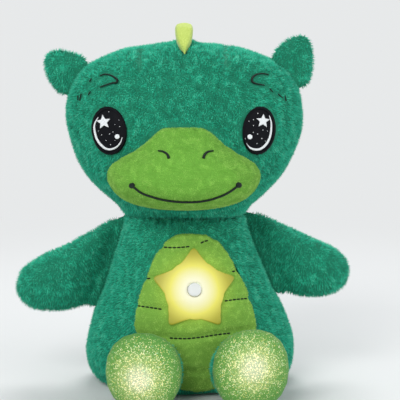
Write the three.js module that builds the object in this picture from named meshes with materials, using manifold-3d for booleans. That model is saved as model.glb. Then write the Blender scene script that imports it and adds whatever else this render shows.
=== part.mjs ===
import * as THREE from 'three';
import { mergeVertices } from 'three/addons/utils/BufferGeometryUtils.js';
import Module from 'manifold-3d';

const wasm = await Module();
wasm.setup();

// A seated plush night light in millimetres, +Z up and the face toward -Y
// The origin is the middle of the flat seat, and the toy's own left side is +X

// Fabric and clearances
const COVER_WALL = 2.4; // plush with its backing
const PANEL_WALL = 2; // flat fabric sewn on the cover
const SEAM_GAP = 0.3; // between sewn pieces
const FIT_GAP = 0.3; // between fixed hard pieces
const RUNNING_GAP = 0.4; // round pieces that slide
const OVERRUN = 60; // how far a cutting shape runs past what it cuts

// Torso
const NECK_HEIGHT = 140;
const TORSO_WIDTH = 175;
const BELLY_REACH = 70;
const BACK_REACH = 64;
const HEAD_SHIFT = 5; // the neck leans this far to the toy's right
const TORSO_SQUARENESS = 2.2;
const torsoShares = [
  // height, half width, front, back
  [-0.057, 0, 0, 0],
  [-0.036, 0.66, 0.63, 0.66],
  [0.014, 0.88, 0.83, 0.86],
  [0.086, 0.97, 0.93, 0.95],
  [0.2, 1, 0.975, 1],
  [0.357, 0.943, 1, 1],
  [0.536, 0.823, 0.957, 0.91],
  [0.714, 0.709, 0.83, 0.78],
  [0.871, 0.617, 0.7, 0.68],
  [1, 0.566, 0.6, 0.62],
  [1.07, 0.55, 0.57, 0.6],
  [1.114, 0, 0, 0],
];

// Head, measured up from the neck
const HEAD_HEIGHT = 140;
const HEAD_WIDTH = 195;
const FACE_REACH = 64;
const NAPE_REACH = 63;
const HEAD_SQUARENESS = 2.3;
const HEAD_TURN = THREE.MathUtils.degToRad(3); // the face turns this far to the toy's right
const headShares = [
  // height, half width, front, back
  [-0.083, 0, 0, 0],
  [-0.07, 0.47, 0.59, 0.6],
  [0, 0.508, 0.625, 0.62],
  [0.049, 0.564, 0.68, 0.67],
  [0.125, 0.695, 0.8, 0.75],
  [0.229, 0.832, 0.91, 0.86],
  [0.347, 0.918, 0.98, 0.94],
  [0.458, 0.974, 1, 0.985],
  [0.583, 1, 0.985, 1],
  [0.694, 0.98, 0.94, 0.985],
  [0.792, 0.923, 0.86, 0.93],
  [0.875, 0.8, 0.75, 0.82],
  [0.9375, 0.595, 0.58, 0.64],
  [0.979, 0.35, 0.36, 0.38],
  [1, 0, 0, 0],
];

// Muzzle, measured up from the neck
const MUZZLE_BOTTOM = 8.5;
const MUZZLE_HEIGHT = 76;
const MUZZLE_WIDTH = 125.5;
const MUZZLE_ROOT = 30; // how far its root lies in front of the head's middle
const MUZZLE_DEPTH = 68;
const muzzleMiddleShare = 0.37;
const muzzleRings = [1, 0.97, 0.87, 0.66, 0.36, 0]; // from its outline to its tip
const muzzlePowers = [3, 2.2]; // how squarely it rises from its outline, and how roundly it ends
const muzzleShares = [
  // half width, height
  [0, 1],
  [0.21, 1],
  [0.33, 0.955],
  [0.45, 0.835],
  [0.62, 0.69],
  [0.735, 0.638],
  [0.9, 0.535],
  [1, 0.41],
  [0.95, 0.245],
  [0.77, 0.1],
  [0.45, 0.02],
  [0, 0],
];

// Eyes
const EYE_SPREAD = 58.7; // from the middle of the face
const EYE_HEIGHT = 71.9; // above the neck
const EYE_WIDTH = 31;
const EYE_LENGTH = 38;
const EYE_LEAN = THREE.MathUtils.degToRad(8);
const EYE_WALL = 1.3;

// Ears
const EAR_LENGTH = 31;
const EAR_WIDTH = 36;
const EAR_THICKNESS = 17;
const EAR_FORWARD = 3;
const EAR_BACK_LEAN = THREE.MathUtils.degToRad(12);
const earSpreadShare = 0.908; // of half the head's width
const earHeightShare = 0.782; // of the head's height
const earShares = [
  // half width toward the cheek, length
  [-1, -0.25],
  [-1.05, 0.27],
  [-0.93, 0.55],
  [-0.72, 0.82],
  [-0.4, 0.98],
  [-0.1, 0.98],
  [0.36, 0.77],
  [0.72, 0.5],
  [0.9, 0.24],
  [1, -0.1],
  [0.9, -0.3],
  [0, -0.4],
];
const ears = [
  { name: 'ear_right', side: -1, tilt: THREE.MathUtils.degToRad(62), spreadShare: 1, heightShare: 1 },
  { name: 'ear_left', side: 1, tilt: THREE.MathUtils.degToRad(38), spreadShare: 0.955, heightShare: 1.03 },
];

// Crest of stuffed spikes down the middle of the head and back
const SPIKE_THICKNESS = 15;
const SPIKE_BASE = 42;
const SPIKE_HEIGHT = 18;
const CROWN_SINK = 3.5;
const CROWN_LEAN = THREE.MathUtils.degToRad(20);
const crownShare = 0.28; // ahead of the head's middle
const spikeShares = [
  // along the base, out from it
  [-0.5, -0.3],
  [-0.5, 0],
  [-0.36, 0.36],
  [-0.1, 0.82],
  [0.1, 1],
  [0.24, 0.86],
  [0.36, 0.44],
  [0.5, 0],
  [0.5, -0.3],
  [0, -0.42],
];
const backSpikes = [
  // height as a share of the head's, size as a share of the crown spike's
  { heightShare: 0.885, sizeShare: 0.78 },
  { heightShare: 0.665, sizeShare: 0.76 },
  { heightShare: 0.44, sizeShare: 0.72 },
];
const shoulderSpike = { heightShare: 0.83, sizeShare: 0.62 };

// Arms, flat stuffed mitts sewn along a seam on each flank
const ARM_REACH = 68.8;
const ARM_DROP = 57.1;
const ARM_THICKNESS = 40;
const armMiddleShares = [0.43, -0.26];
const armRootShare = 0.22; // how far out the wedge at the seam reaches
const armSeamShares = [-0.6, -0.2, 0.2, 0.6]; // points along the seam itself
const armShares = [
  // out from the seam, along it from its middle
  [0.218, 0.422],
  [0.465, 0.156],
  [0.711, -0.112],
  [0.887, -0.306],
  [0.972, -0.473],
  [1, -0.695],
  [0.939, -0.867],
  [0.815, -0.975],
  [0.645, -1],
  [0.392, -0.921],
  [0.179, -0.786],
];
const arms = [
  { name: 'arm_right', side: -1, seamShares: [0.457, 0.964], reachShare: 1 },
  { name: 'arm_left', side: 1, seamShares: [0.543, 0.98], reachShare: 0.94 },
];

// Legs, which lie forward from a pinched hip seam
const LEG_LENGTH = 46;
const LEG_WIDTH = 59;
const LEG_HEIGHT = 57;
const HIP_SPREAD = 33;
const HIP_REACH = 67;
const HIP_HEIGHT = 26;
const FOOT_HEIGHT = 28;
const LEG_YAW = THREE.MathUtils.degToRad(14);
const LEG_SQUARENESS = 2.2;
const soleShare = 0.55; // where the sole is sewn to the leg
const levelShare = 0.6; // where the leg has reached its full height
const legShares = [
  // reach, half width, half height
  [0, 0.667, 0.01],
  [0.07, 0.77, 0.14],
  [0.21, 0.87, 0.456],
  [0.42, 0.967, 0.842],
  [0.6, 1, 0.993],
  [0.737, 1, 1],
  [0.877, 0.833, 0.825],
  [0.965, 0.467, 0.456],
  [1, 0, 0],
];

// Tail
const TAIL_LENGTH = 46;
const TAIL_WIDTH = 42;
const TAIL_HEIGHT = 26;
const TAIL_ROOT = 48; // behind the middle of the torso
const tailFlatShare = 0.03; // of its height, cut flat where it lies
const tailShares = [
  // reach, half width, half height
  [0, 1, 1],
  [0.35, 0.94, 0.94],
  [0.65, 0.72, 0.72],
  [0.88, 0.42, 0.44],
  [0.97, 0.22, 0.24],
  [1, 0, 0],
];

// Belly panel and its star
const PANEL_BOTTOM = 4;
const PANEL_HEIGHT = 126;
const PANEL_WIDTH = 97;
const BELLY_SHIFT = 2.4; // the panel and its star lie this far to the toy's left
const panelShares = [
  // half width, height
  [0, 1],
  [0.35, 0.975],
  [0.54, 0.905],
  [0.74, 0.762],
  [0.86, 0.667],
  [0.98, 0.5],
  [1, 0.397],
  [0.92, 0.246],
  [0.72, 0.127],
  [0.44, 0.05],
  [0, 0],
];
const STAR_HEIGHT = 87.3; // of its middle, above the seat
const STAR_REACH = 35.8; // to where the sides of a point would meet
const STAR_LAP = 3; // the star's fabric laps over the panel
const STAR_WALL = 1.5;
const STAR_POINTS = 5;
const starWaistShare = 0.55;
const starTipShare = 0.25;
const starCornerShare = 0.2;

// Star light behind the belly, measured in from the cover along its own axis
const LIGHT_RADIUS = 38;
const LIGHT_DEPTH = 14; // from the cover to the diffuser's flange
const FLANGE_WALL = 2;
const DOME_WALL = 2.2;
const DOME_RISE = 2; // the star dome fills the cover's star hole
const CASE_WALL = 2;
const CASE_LENGTH = 20;
const DISH_WALL = 1;
const DISH_DEPTH = 5.6;
const DISH_FLOOR_RADIUS = 30;
const DISH_LIP = 3;
const SHELF_DEPTH = 3.4; // holds the board clear of the dish
const SHELF_RADIUS = 27.5;
const BOARD_RADIUS = 29.6;
const BOARD_WALL = 1.6;
const LED_RING_RADIUS = 17;
const LED_RADIUS = 2.5;
const LED_RISE = 2; // above the dish's floor
const LED_COUNT = 3;
const BACK_WALL = 2.4;
const BACK_RIB_WALL = 1.5;
const BOSS_RADIUS = 3.2;
const BOSS_RING_RADIUS = 33.8;
const SCREW_RADIUS = 1.3;
const SCREW_HEAD_RADIUS = 2.6;
const SCREW_HEAD_WALL = 1.2;
const SCREW_LENGTH = 8;
const LIGHT_SCREW_COUNT = 3;

// Button in the middle of the star
const BUTTON_RADIUS = 5.5;
const BUTTON_RISE = 5.5; // above the cover
const BUTTON_ROUNDING = 1;
const BUTTON_TRAVEL = 1.5;
const BUTTON_FLANGE_RADIUS = 7.6;
const BUTTON_FLANGE_WALL = 1.5;
const BUTTON_FLANGE_DROP = 1.2; // the belly's curve takes this under the flange's rim
const BUTTON_SHAFT_RADIUS = 2.6;
const GUIDE_WALL = 2.2;
const GUIDE_LENGTH = 10;
const SWITCH_SIDE = 6;
const SWITCH_HEIGHT = 3.5;
const SWITCH_STEM_RADIUS = 1.7;
const SWITCH_STEM_HEIGHT = 1.1;
const STOP_GAP = 0.2; // left between the pressed button and the switch
const SPRING_RADIUS = 4.1;
const SPRING_WIRE = 0.7;
const SPRING_TURNS = 5;

// Battery case, behind a flap in the back
const BATTERY_WIDTH = 56;
const BATTERY_DEPTH = 14.6;
const BATTERY_HEIGHT = 38;
const BATTERY_FRONT = 29; // behind the middle of the torso
const BATTERY_BOTTOM = 40;
const BATTERY_WALL = 1.5;
const DOOR_WALL = 2;
const EAR_BOSS_RADIUS = 4.2;
const EAR_BOSS_RISE = 3.6; // its middle, above the case
const CELL_RADIUS = 5.25;
const CELL_LENGTH = 43.6;
const CELL_NUB_RADIUS = 2.7;
const CELL_NUB_LENGTH = 0.9;
const CELL_COUNT = 3;
const CONTACT_WALL = 0.4;
const CONTACT_WIDTH = 8;
const CONTACT_DIMPLE = 0.8;
const CONTACT_COIL_RADIUS = 2.6;
const CONTACT_WIRE = 0.6;
const CONTACT_TURNS = 1.5;

// Back flap, its touch fastener and the window that it covers
const WINDOW_BOTTOM = 38;
const WINDOW_TOP = 88;
const WINDOW_WIDTH = 64;
const FLAP_BOTTOM = 27;
const FLAP_TOP = 94;
const FLAP_WIDTH = 74;
const FLAP_CORNER = 8;
const FLAP_HEM = 3.5;
const TOUCH_BOTTOM = 28.5;
const TOUCH_HEIGHT = 7.5;
const TOUCH_WIDTH = 58;
const TOUCH_WALL = 0.9;

// Foot lights
const FOOT_LIGHT_RADIUS = 9.5;
const FOOT_LIGHT_HEIGHT = 20; // of its axis, above the floor
const FOOT_LIGHT_START = 25; // ahead of the hip seam
const FOOT_LIGHT_LENGTH = 11;
const FOOT_LENS_RISE = 4.4;
const FOOT_WALL = 1.3;
const FOOT_BOARD_WALL = 1.2;

// Wires inside the stuffing
const WIRE_RADIUS = 0.9;
const WIRE_CHANNEL_RADIUS = 2.1;
const WIRE_JOINT_GAP = 0.6; // each side of the hip seam's axis
const SUPPLY_WIRE_SPREAD = 12;
const HIP_WIRE_SPREAD = 15;
const HIP_WIRE_DROP = 22;

// Counts of facets
const AROUND_TORSO = 24;
const AROUND_HEAD = 24;
const AROUND_LEG = 18;
const AROUND_LAMP = 14;
const AROUND_DISC = 24;
const AROUND_BUTTON = 16;
const AROUND_BORE = 8;
const AROUND_CHANNEL = 6;
const AROUND_WIRE = 5;
const AROUND_COIL = 4;
const COIL_STEPS = 8;
const WIRE_STEPS = 12;
const CHANNEL_STEPS = 16;
const TORSO_ROWS = 17;
const HEAD_ROWS = 19;
const LEG_ROWS = 13;
const FINE_ROWS = 120;
const ARM_OUTLINE = 24;
const EAR_OUTLINE = 18;
const SPIKE_OUTLINE = 14;
const PANEL_OUTLINE = 30;
const MUZZLE_OUTLINE = 32;
const EYE_OUTLINE = 20;
const STAR_TIP_STEPS = 4;
const STAR_WAIST_STEPS = 1;
const CORNER_STEPS = 3;

// Rings of a stuffed pillow, from its outline to its middle
const pillowRings = [1, 0.9, 0.6, 0];
const pillowPower = 2.6; // a higher one makes it flatter with a rounder edge

// Points of a quarter round, from its rim to its middle
const quarterShares = [0, 0.33, 0.67, 1];

// Finishes
const finish = (color, roughness, metalness = 0) =>
  new THREE.MeshStandardMaterial({ color, roughness, metalness });
const darkPlush = () => finish(0x14785a, 0.95);
const limePlush = () => finish(0x7dbb4b, 0.95);
const paleFabric = () => finish(0x87b950, 0.9);
const crestFabric = () => finish(0xc8d76e, 0.9);
const fibre = () => finish(0xf1f1ec, 1);
const whitePlastic = () => finish(0xf2f2ee, 0.45);
const greyPlastic = () => finish(0x8d9296, 0.5);
const steel = () => finish(0xb8bcc0, 0.35, 1);

// Solids from three.js geometries
function solidOf(geometry, matrix) {
  const bare = geometry.index ? geometry.toNonIndexed() : geometry.clone();
  bare.deleteAttribute('normal');
  bare.deleteAttribute('uv');
  if (matrix) bare.applyMatrix4(matrix);
  const merged = mergeVertices(bare);
  const corner = (index) => new THREE.Vector3().fromBufferAttribute(merged.attributes.position, index);
  const faces = [];
  let volume = 0;
  for (let i = 0; i < merged.index.count; i += 3) {
    const [a, b, c] = [0, 1, 2].map((step) => merged.index.getX(i + step));
    if (a === b || b === c || c === a) continue;
    faces.push(a, b, c);
    volume += corner(a).dot(corner(b).cross(corner(c)));
  }
  if (volume < 0) faces.reverse();
  return new wasm.Manifold(
    new wasm.Mesh({
      numProp: 3,
      vertProperties: new Float32Array(merged.attributes.position.array),
      triVerts: new Uint32Array(faces),
    }),
  );
}

const cut = (solid, ...tools) => tools.reduce((rest, tool) => rest.subtract(tool), solid);
const join = (...solids) => solids.reduce((all, next) => all.add(next));

function addPart(parent, name, solid, material) {
  const { vertProperties, triVerts } = solid.getMesh();
  const geometry = new THREE.BufferGeometry();
  geometry.setAttribute('position', new THREE.BufferAttribute(vertProperties, 3));
  geometry.setIndex(new THREE.BufferAttribute(triVerts, 1));
  geometry.computeVertexNormals();
  const mesh = new THREE.Mesh(geometry, material);
  mesh.name = name;
  parent.add(mesh);
}

// A closed skin over rings that all have as many points, with its ends closed
function loft(rings) {
  const points = rings.flat();
  const around = rings[0].length;
  const middleOf = (ring) =>
    ring.reduce((sum, point) => sum.add(point), new THREE.Vector3()).divideScalar(around);
  const index = [];
  for (let row = 0; row < rings.length - 1; row += 1) {
    for (let i = 0; i < around; i += 1) {
      const a = row * around + i;
      const b = row * around + ((i + 1) % around);
      index.push(a, b, a + around, b, b + around, a + around);
    }
  }
  const last = (rings.length - 1) * around;
  points.push(middleOf(rings[0]), middleOf(rings[rings.length - 1]));
  for (let i = 0; i < around; i += 1) {
    const next = (i + 1) % around;
    index.push(points.length - 2, next, i);
    index.push(points.length - 1, last + i, last + next);
  }
  return new THREE.BufferGeometry().setFromPoints(points).setIndex(index);
}

const roundPower = (value, power) => Math.sign(value) * Math.abs(value) ** power;

// One ring of a rounded form: a superellipse whose front and back reach differ
function ovalRing({ x, y, z }, side, front, back, squareness, around) {
  return Array.from({ length: around }, (_, i) => {
    const angle = (i / around) * 2 * Math.PI;
    const across = roundPower(Math.cos(angle), 2 / squareness);
    const along = roundPower(Math.sin(angle), 2 / squareness);
    return new THREE.Vector3(x + side * across, y + (along < 0 ? front : back) * along, z);
  });
}

// Smooth rows through a table of shares
function rowsOf(shares, count) {
  const width = shares[0].length;
  const curve = new THREE.CubicInterpolant(shares.map((_, i) => i), shares.flat(), width);
  return Array.from({ length: count }, (_, i) => {
    const row = [...curve.evaluate((i * (shares.length - 1)) / (count - 1))];
    return row.map((value, column) => (column ? Math.max(0, value) : value));
  });
}

// A stuffed form that swells and tapers over its height, inset from its fabric if wanted
function uprightForm(form, rows, around, inset = 0) {
  const rings = rowsOf(form.shares, rows).map(([height, side, front, back]) => {
    const z = height * form.height;
    const centre = new THREE.Vector3(form.lean(z), 0, z);
    const sizes = [side * form.halfWidth, front * form.front, back * form.back];
    return ovalRing(centre, ...sizes, form.squareness, around);
  });
  return grown(loft(rings), -inset);
}

// The same skin moved out along its own normals
function grown(geometry, distance) {
  const skin = mergeVertices(geometry);
  skin.computeVertexNormals();
  const { position, normal } = skin.attributes;
  for (let i = 0; i < position.count; i += 1) {
    const point = new THREE.Vector3().fromBufferAttribute(position, i);
    point.addScaledVector(new THREE.Vector3().fromBufferAttribute(normal, i), distance);
    position.setXYZ(i, point.x, point.y, point.z);
  }
  skin.deleteAttribute('normal');
  return skin;
}

// Half width, front and back reach of an upright form at one height
function sectionAt(form, z) {
  const rows = rowsOf(form.shares, FINE_ROWS);
  const above = rows.findIndex(([height]) => height * form.height >= z);
  const [low, high] = [rows[above - 1], rows[above]];
  const part = (z / form.height - low[0]) / (high[0] - low[0]);
  const [, side, front, back] = low.map((value, i) => value + part * (high[i] - value));
  return {
    x: form.lean(z),
    side: side * form.halfWidth,
    front: front * form.front,
    back: back * form.back,
  };
}

const pairsToPoints = (pairs, across, along) =>
  pairs.map(([u, v]) => new THREE.Vector2(u * across, v * along));

// A closed smooth outline through a few points
function smoothOutline(points, count) {
  const curve = new THREE.CatmullRomCurve3(
    points.map(({ x, y }) => new THREE.Vector3(x, y, 0)),
    true,
    'centripetal',
  );
  return curve.getSpacedPoints(count).slice(0, -1).map(({ x, y }) => new THREE.Vector2(x, y));
}

// Right half of an outline and its mirror image
const mirroredOutline = (points) => [
  ...points,
  ...points.slice(1, -1).reverse().map(({ x, y }) => new THREE.Vector2(-x, y)),
];

// An outline extruded along its own +Z from a start height
function prism(outline, start, depth, matrix) {
  const geometry = new THREE.ExtrudeGeometry(new THREE.Shape(outline), { depth, bevelEnabled: false });
  geometry.translate(0, 0, start);
  return solidOf(geometry, matrix);
}

// A form turned round its own Z from radius and height pairs
function turned(profile, around, matrix) {
  const points = profile.map(([radius, height]) => new THREE.Vector2(radius, height));
  const geometry = new THREE.LatheGeometry(points, around).rotateX(Math.PI / 2);
  return solidOf(geometry, matrix);
}

const rod = (radius, start, end, around, matrix) =>
  turned([[0, start], [radius, start], [radius, end], [0, end]], around, matrix);

const ringWall = (inner, outer, start, end, around) =>
  turned([[inner, start], [outer, start], [outer, end], [inner, end], [inner, start]], around);

function block(width, depth, height, x, y, z) {
  const geometry = new THREE.BoxGeometry(width, depth, height).translate(x, y, z);
  return solidOf(geometry);
}

// A round wire along a smooth curve
function wire(points, radius, steps, around = AROUND_WIRE) {
  const curve = new THREE.CatmullRomCurve3(points, false, 'centripetal');
  const section = Array.from({ length: around }, (_, i) => {
    const angle = (i / around) * 2 * Math.PI;
    return new THREE.Vector2(Math.cos(angle) * radius, Math.sin(angle) * radius);
  });
  const geometry = new THREE.ExtrudeGeometry(new THREE.Shape(section), {
    steps,
    extrudePath: curve,
    bevelEnabled: false,
  });
  return solidOf(geometry);
}

// A coil spring that climbs its own +Z
function coil(radius, wireWidth, start, end, turns) {
  const steps = turns * COIL_STEPS;
  const points = Array.from({ length: steps + 1 }, (_, i) => {
    const angle = (i / COIL_STEPS) * 2 * Math.PI;
    const height = THREE.MathUtils.lerp(start + wireWidth / 2, end - wireWidth / 2, i / steps);
    return new THREE.Vector3(radius * Math.cos(angle), radius * Math.sin(angle), height);
  });
  return wire(points, wireWidth / 2, steps, AROUND_COIL);
}

// A stuffed pillow: rings shrink from its outline to its middle and rise to both faces
function pillow(outline, middle, thickness, rises, matrix) {
  const ring = (share, face) =>
    outline.map((point, i) => {
      const spot = middle.clone().lerp(point, share);
      return new THREE.Vector3(spot.x, spot.y, (face * thickness * rises(share, i)) / 2);
    });
  const near = pillowRings.map((share) => ring(share, 1));
  const far = pillowRings.slice(1).map((share) => ring(share, -1));
  return solidOf(loft([...near.reverse(), ...far]), matrix);
}

const roundRise = (share) => Math.sqrt(1 - share ** pillowPower);

// Torso cover, stuffing and the pieces sewn on it
const torso = {
  shares: torsoShares,
  height: NECK_HEIGHT,
  halfWidth: TORSO_WIDTH / 2,
  front: BELLY_REACH,
  back: BACK_REACH,
  squareness: TORSO_SQUARENESS,
  lean: (z) => -HEAD_SHIFT * Math.max(0, z / NECK_HEIGHT) ** 1.5,
};
const torsoSkin = uprightForm(torso, TORSO_ROWS, AROUND_TORSO);
const torsoOut = (distance) => solidOf(grown(torsoSkin, distance));
const torsoLayer = (inner, outer) => torsoOut(outer).subtract(torsoOut(inner));
const torsoCore = (inset) => solidOf(uprightForm(torso, torsoShares.length, AROUND_TORSO, inset));

// Keeps what lies between two heights
const slab = (low, high) =>
  block(TORSO_WIDTH * 2, TORSO_WIDTH * 2, high - low, 0, 0, (low + high) / 2);

// The star light's own frame: its axis leaves the belly square to the cover
const lightFront = sectionAt(torso, STAR_HEIGHT).front;
const lightLean = Math.atan2(
  sectionAt(torso, STAR_HEIGHT - STAR_REACH).front - sectionAt(torso, STAR_HEIGHT + STAR_REACH).front,
  2 * STAR_REACH,
);
const light = new THREE.Group();
light.position.set(sectionAt(torso, STAR_HEIGHT).x + BELLY_SHIFT, -lightFront, STAR_HEIGHT);
light.rotation.x = Math.PI / 2 - lightLean;
light.updateMatrix();
const toTorso = light.matrix;
const toLight = toTorso.clone().invert();
// Standing outlines, which extrude toward -Y in front and +Y behind
const upright = new THREE.Matrix4().makeRotationX(Math.PI / 2);
const frontPrism = (outline) => prism(outline, 0, TORSO_WIDTH, upright);
const backPrism = (outline, from) => prism(outline, -TORSO_WIDTH, TORSO_WIDTH - from, upright);

function starOutline(reach) {
  const corners = Array.from({ length: 2 * STAR_POINTS }, (_, i) => {
    const radius = i % 2 ? reach * starWaistShare : reach;
    const angle = Math.PI / 2 + (i * Math.PI) / STAR_POINTS;
    return new THREE.Vector2(radius * Math.cos(angle), radius * Math.sin(angle));
  });
  return corners.flatMap((corner, i) => {
    const share = i % 2 ? starCornerShare : starTipShare;
    const before = corner.clone().lerp(corners.at(i - 1), share);
    const after = corner.clone().lerp(corners[(i + 1) % corners.length], share);
    const steps = i % 2 ? STAR_WAIST_STEPS : STAR_TIP_STEPS;
    return new THREE.QuadraticBezierCurve(before, corner, after).getPoints(steps);
  });
}

function roundedBox(width, low, high, corner) {
  const side = width / 2 - corner;
  const shape = new THREE.Shape();
  shape.absarc(side, high - corner, corner, 0, Math.PI / 2);
  shape.absarc(-side, high - corner, corner, Math.PI / 2, Math.PI);
  shape.absarc(-side, low + corner, corner, Math.PI, 1.5 * Math.PI);
  shape.absarc(side, low + corner, corner, 1.5 * Math.PI, 2 * Math.PI);
  return shape.getPoints(CORNER_STEPS);
}

const starHoleReach = STAR_REACH - STAR_LAP / starWaistShare;
const starHole = prism(starOutline(starHoleReach), -LIGHT_DEPTH, LIGHT_DEPTH + OVERRUN, toTorso);
const windowOutline = roundedBox(WINDOW_WIDTH, WINDOW_BOTTOM, WINDOW_TOP, FLAP_CORNER);

const plush = new THREE.Group();
plush.add(light);

// Hips, where each leg's frame has -Y along the leg and its origin on the pinched seam
function hipAt(side) {
  const hip = new THREE.Group();
  hip.position.set(torso.lean(HIP_HEIGHT) + side * HIP_SPREAD, -HIP_REACH, HIP_HEIGHT);
  hip.rotation.z = side * LEG_YAW;
  hip.updateMatrix();
  return hip;
}
const hips = { right: hipAt(-1), left: hipAt(1) };
const alongLeg = (hip, distance) => new THREE.Vector3(0, -distance, 0).applyMatrix4(hip.matrix);

// Heights of the star light's pieces along its axis, zero at the cover
const flangeBottom = -LIGHT_DEPTH - FLANGE_WALL;
const rimTop = flangeBottom - FIT_GAP;
const caseBottom = rimTop - CASE_LENGTH;
const dishFloor = rimTop - DISH_DEPTH;
const dishFloorTop = dishFloor + DISH_WALL;
const shelfTop = dishFloor - FIT_GAP;
const shelfBottom = shelfTop - SHELF_DEPTH;
const boardTop = shelfBottom - FIT_GAP;
const boardBottom = boardTop - BOARD_WALL;
const switchTop = boardTop + SWITCH_HEIGHT;
const stemTop = switchTop + SWITCH_STEM_HEIGHT;
const backTop = caseBottom - FIT_GAP;
const backBottom = backTop - BACK_WALL;

// Wire routes through the stuffing, which leave the light's back plate squarely
const plateExit = (x, y, distance) => new THREE.Vector3(x, y, backBottom - distance).applyMatrix4(toTorso);
const batteryMiddle = BATTERY_BOTTOM + BATTERY_HEIGHT / 2;
const supplyRoute = [
  plateExit(SUPPLY_WIRE_SPREAD, 0, FIT_GAP),
  plateExit(SUPPLY_WIRE_SPREAD, 0, 4 * WIRE_RADIUS),
  new THREE.Vector3(SUPPLY_WIRE_SPREAD, -6, 65),
  new THREE.Vector3(SUPPLY_WIRE_SPREAD, 10, 58),
  new THREE.Vector3(SUPPLY_WIRE_SPREAD, BATTERY_FRONT - 4 * WIRE_RADIUS, batteryMiddle),
  new THREE.Vector3(SUPPLY_WIRE_SPREAD, BATTERY_FRONT - FIT_GAP, batteryMiddle),
];
const hipRoute = (side, hip) => [
  plateExit(side * HIP_WIRE_SPREAD, -HIP_WIRE_DROP, FIT_GAP),
  plateExit(side * HIP_WIRE_SPREAD, -HIP_WIRE_DROP, 7 * WIRE_RADIUS),
  new THREE.Vector3(side * 18, -15, 48),
  new THREE.Vector3(side * 22, -17, 38),
  new THREE.Vector3(side * 26, -32, 29),
  alongLeg(hip, -12),
  alongLeg(hip, -WIRE_JOINT_GAP),
];
const hipRoutes = { right: hipRoute(-1, hips.right), left: hipRoute(1, hips.left) };
function channel(route, steps) {
  const [first, second] = route;
  const [before, last] = route.slice(-2);
  const reach = 2 * WIRE_CHANNEL_RADIUS;
  const start = first.clone().addScaledVector(first.clone().sub(second).normalize(), reach);
  const end = last.clone().addScaledVector(last.clone().sub(before).normalize(), reach);
  return wire([start, ...route, end], WIRE_CHANNEL_RADIUS, steps, AROUND_CHANNEL);
}
const hipChannels = Object.entries(hips).map(([side, hip]) =>
  channel([...hipRoutes[side].slice(0, -1), alongLeg(hip, COVER_WALL)], CHANNEL_STEPS),
);

// Torso
const torsoTop = NECK_HEIGHT - SEAM_GAP / 2;
const torsoCover = cut(
  torsoOut(0).intersect(slab(0, torsoTop)),
  torsoCore(COVER_WALL).intersect(slab(COVER_WALL, NECK_HEIGHT + OVERRUN)),
  starHole,
  backPrism(windowOutline, 0),
  ...hipChannels,
);
addPart(plush, 'torso_cover', torsoCover, darkPlush());

const lightCavity = rod(LIGHT_RADIUS + FIT_GAP, backBottom - FIT_GAP, OVERRUN, AROUND_DISC, toTorso);
const batteryTop = BATTERY_BOTTOM + BATTERY_HEIGHT;
const earBossHeight = batteryTop + EAR_BOSS_RISE;
const batteryBack = BATTERY_FRONT + BATTERY_DEPTH;
const cavityTop = earBossHeight + EAR_BOSS_RADIUS + FIT_GAP;
const cavityHeight = cavityTop - BATTERY_BOTTOM + FIT_GAP;
const batteryCavity = block(
  BATTERY_WIDTH + 2 * FIT_GAP,
  BATTERY_DEPTH + DOOR_WALL + FIT_GAP,
  cavityHeight,
  0,
  BATTERY_FRONT - FIT_GAP + (BATTERY_DEPTH + DOOR_WALL + FIT_GAP) / 2,
  cavityTop - cavityHeight / 2,
);
const torsoStuffing = cut(
  torsoCore(COVER_WALL + SEAM_GAP).intersect(slab(COVER_WALL + SEAM_GAP, torsoTop)),
  lightCavity,
  batteryCavity,
  backPrism(windowOutline, batteryBack),
  channel(supplyRoute, CHANNEL_STEPS / 2),
  ...hipChannels,
);
addPart(plush, 'torso_stuffing', torsoStuffing, fibre());

// Belly panel with its star hole, and the star of thin fabric over the hole
const panelHalf = pairsToPoints(panelShares, PANEL_WIDTH / 2, PANEL_HEIGHT).reverse();
const panelOutline = smoothOutline(mirroredOutline(panelHalf), PANEL_OUTLINE).map(
  ({ x, y }) => new THREE.Vector2(x + torso.lean(y) + BELLY_SHIFT, y + PANEL_BOTTOM),
);
const bellyPanel = torsoLayer(SEAM_GAP, SEAM_GAP + PANEL_WALL).intersect(frontPrism(panelOutline));
addPart(plush, 'belly_panel', cut(bellyPanel, starHole, ...hipChannels), paleFabric());

const starStart = 2 * SEAM_GAP + PANEL_WALL;
const buttonHole = BUTTON_RADIUS + RUNNING_GAP;
const star = torsoLayer(starStart, starStart + STAR_WALL)
  .intersect(prism(starOutline(STAR_REACH), -LIGHT_DEPTH, LIGHT_DEPTH + OVERRUN, toTorso))
  .subtract(rod(buttonHole, -LIGHT_DEPTH, OVERRUN, AROUND_BUTTON, toTorso));
addPart(plush, 'star_window', star, finish(0xe9df6c, 0.8));

// Head, in its own frame on the neck
const head = new THREE.Group();
head.position.set(-HEAD_SHIFT, 0, NECK_HEIGHT);
head.rotation.z = -HEAD_TURN;
head.updateMatrix();
plush.add(head);
const headForm = {
  shares: headShares,
  height: HEAD_HEIGHT,
  halfWidth: HEAD_WIDTH / 2,
  front: FACE_REACH,
  back: NAPE_REACH,
  squareness: HEAD_SQUARENESS,
  lean: () => 0,
};
const headSkin = uprightForm(headForm, HEAD_ROWS, AROUND_HEAD);
const headOut = (distance) => solidOf(grown(headSkin, distance));
const headCore = (inset) => solidOf(uprightForm(headForm, headShares.length, AROUND_HEAD, inset));
const aboveNeck = slab(SEAM_GAP / 2, HEAD_HEIGHT + OVERRUN);
addPart(head, 'head_cover', headOut(0).intersect(aboveNeck).subtract(headCore(COVER_WALL)), darkPlush());
addPart(head, 'head_stuffing', headCore(COVER_WALL + SEAM_GAP).intersect(aboveNeck), fibre());

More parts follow.
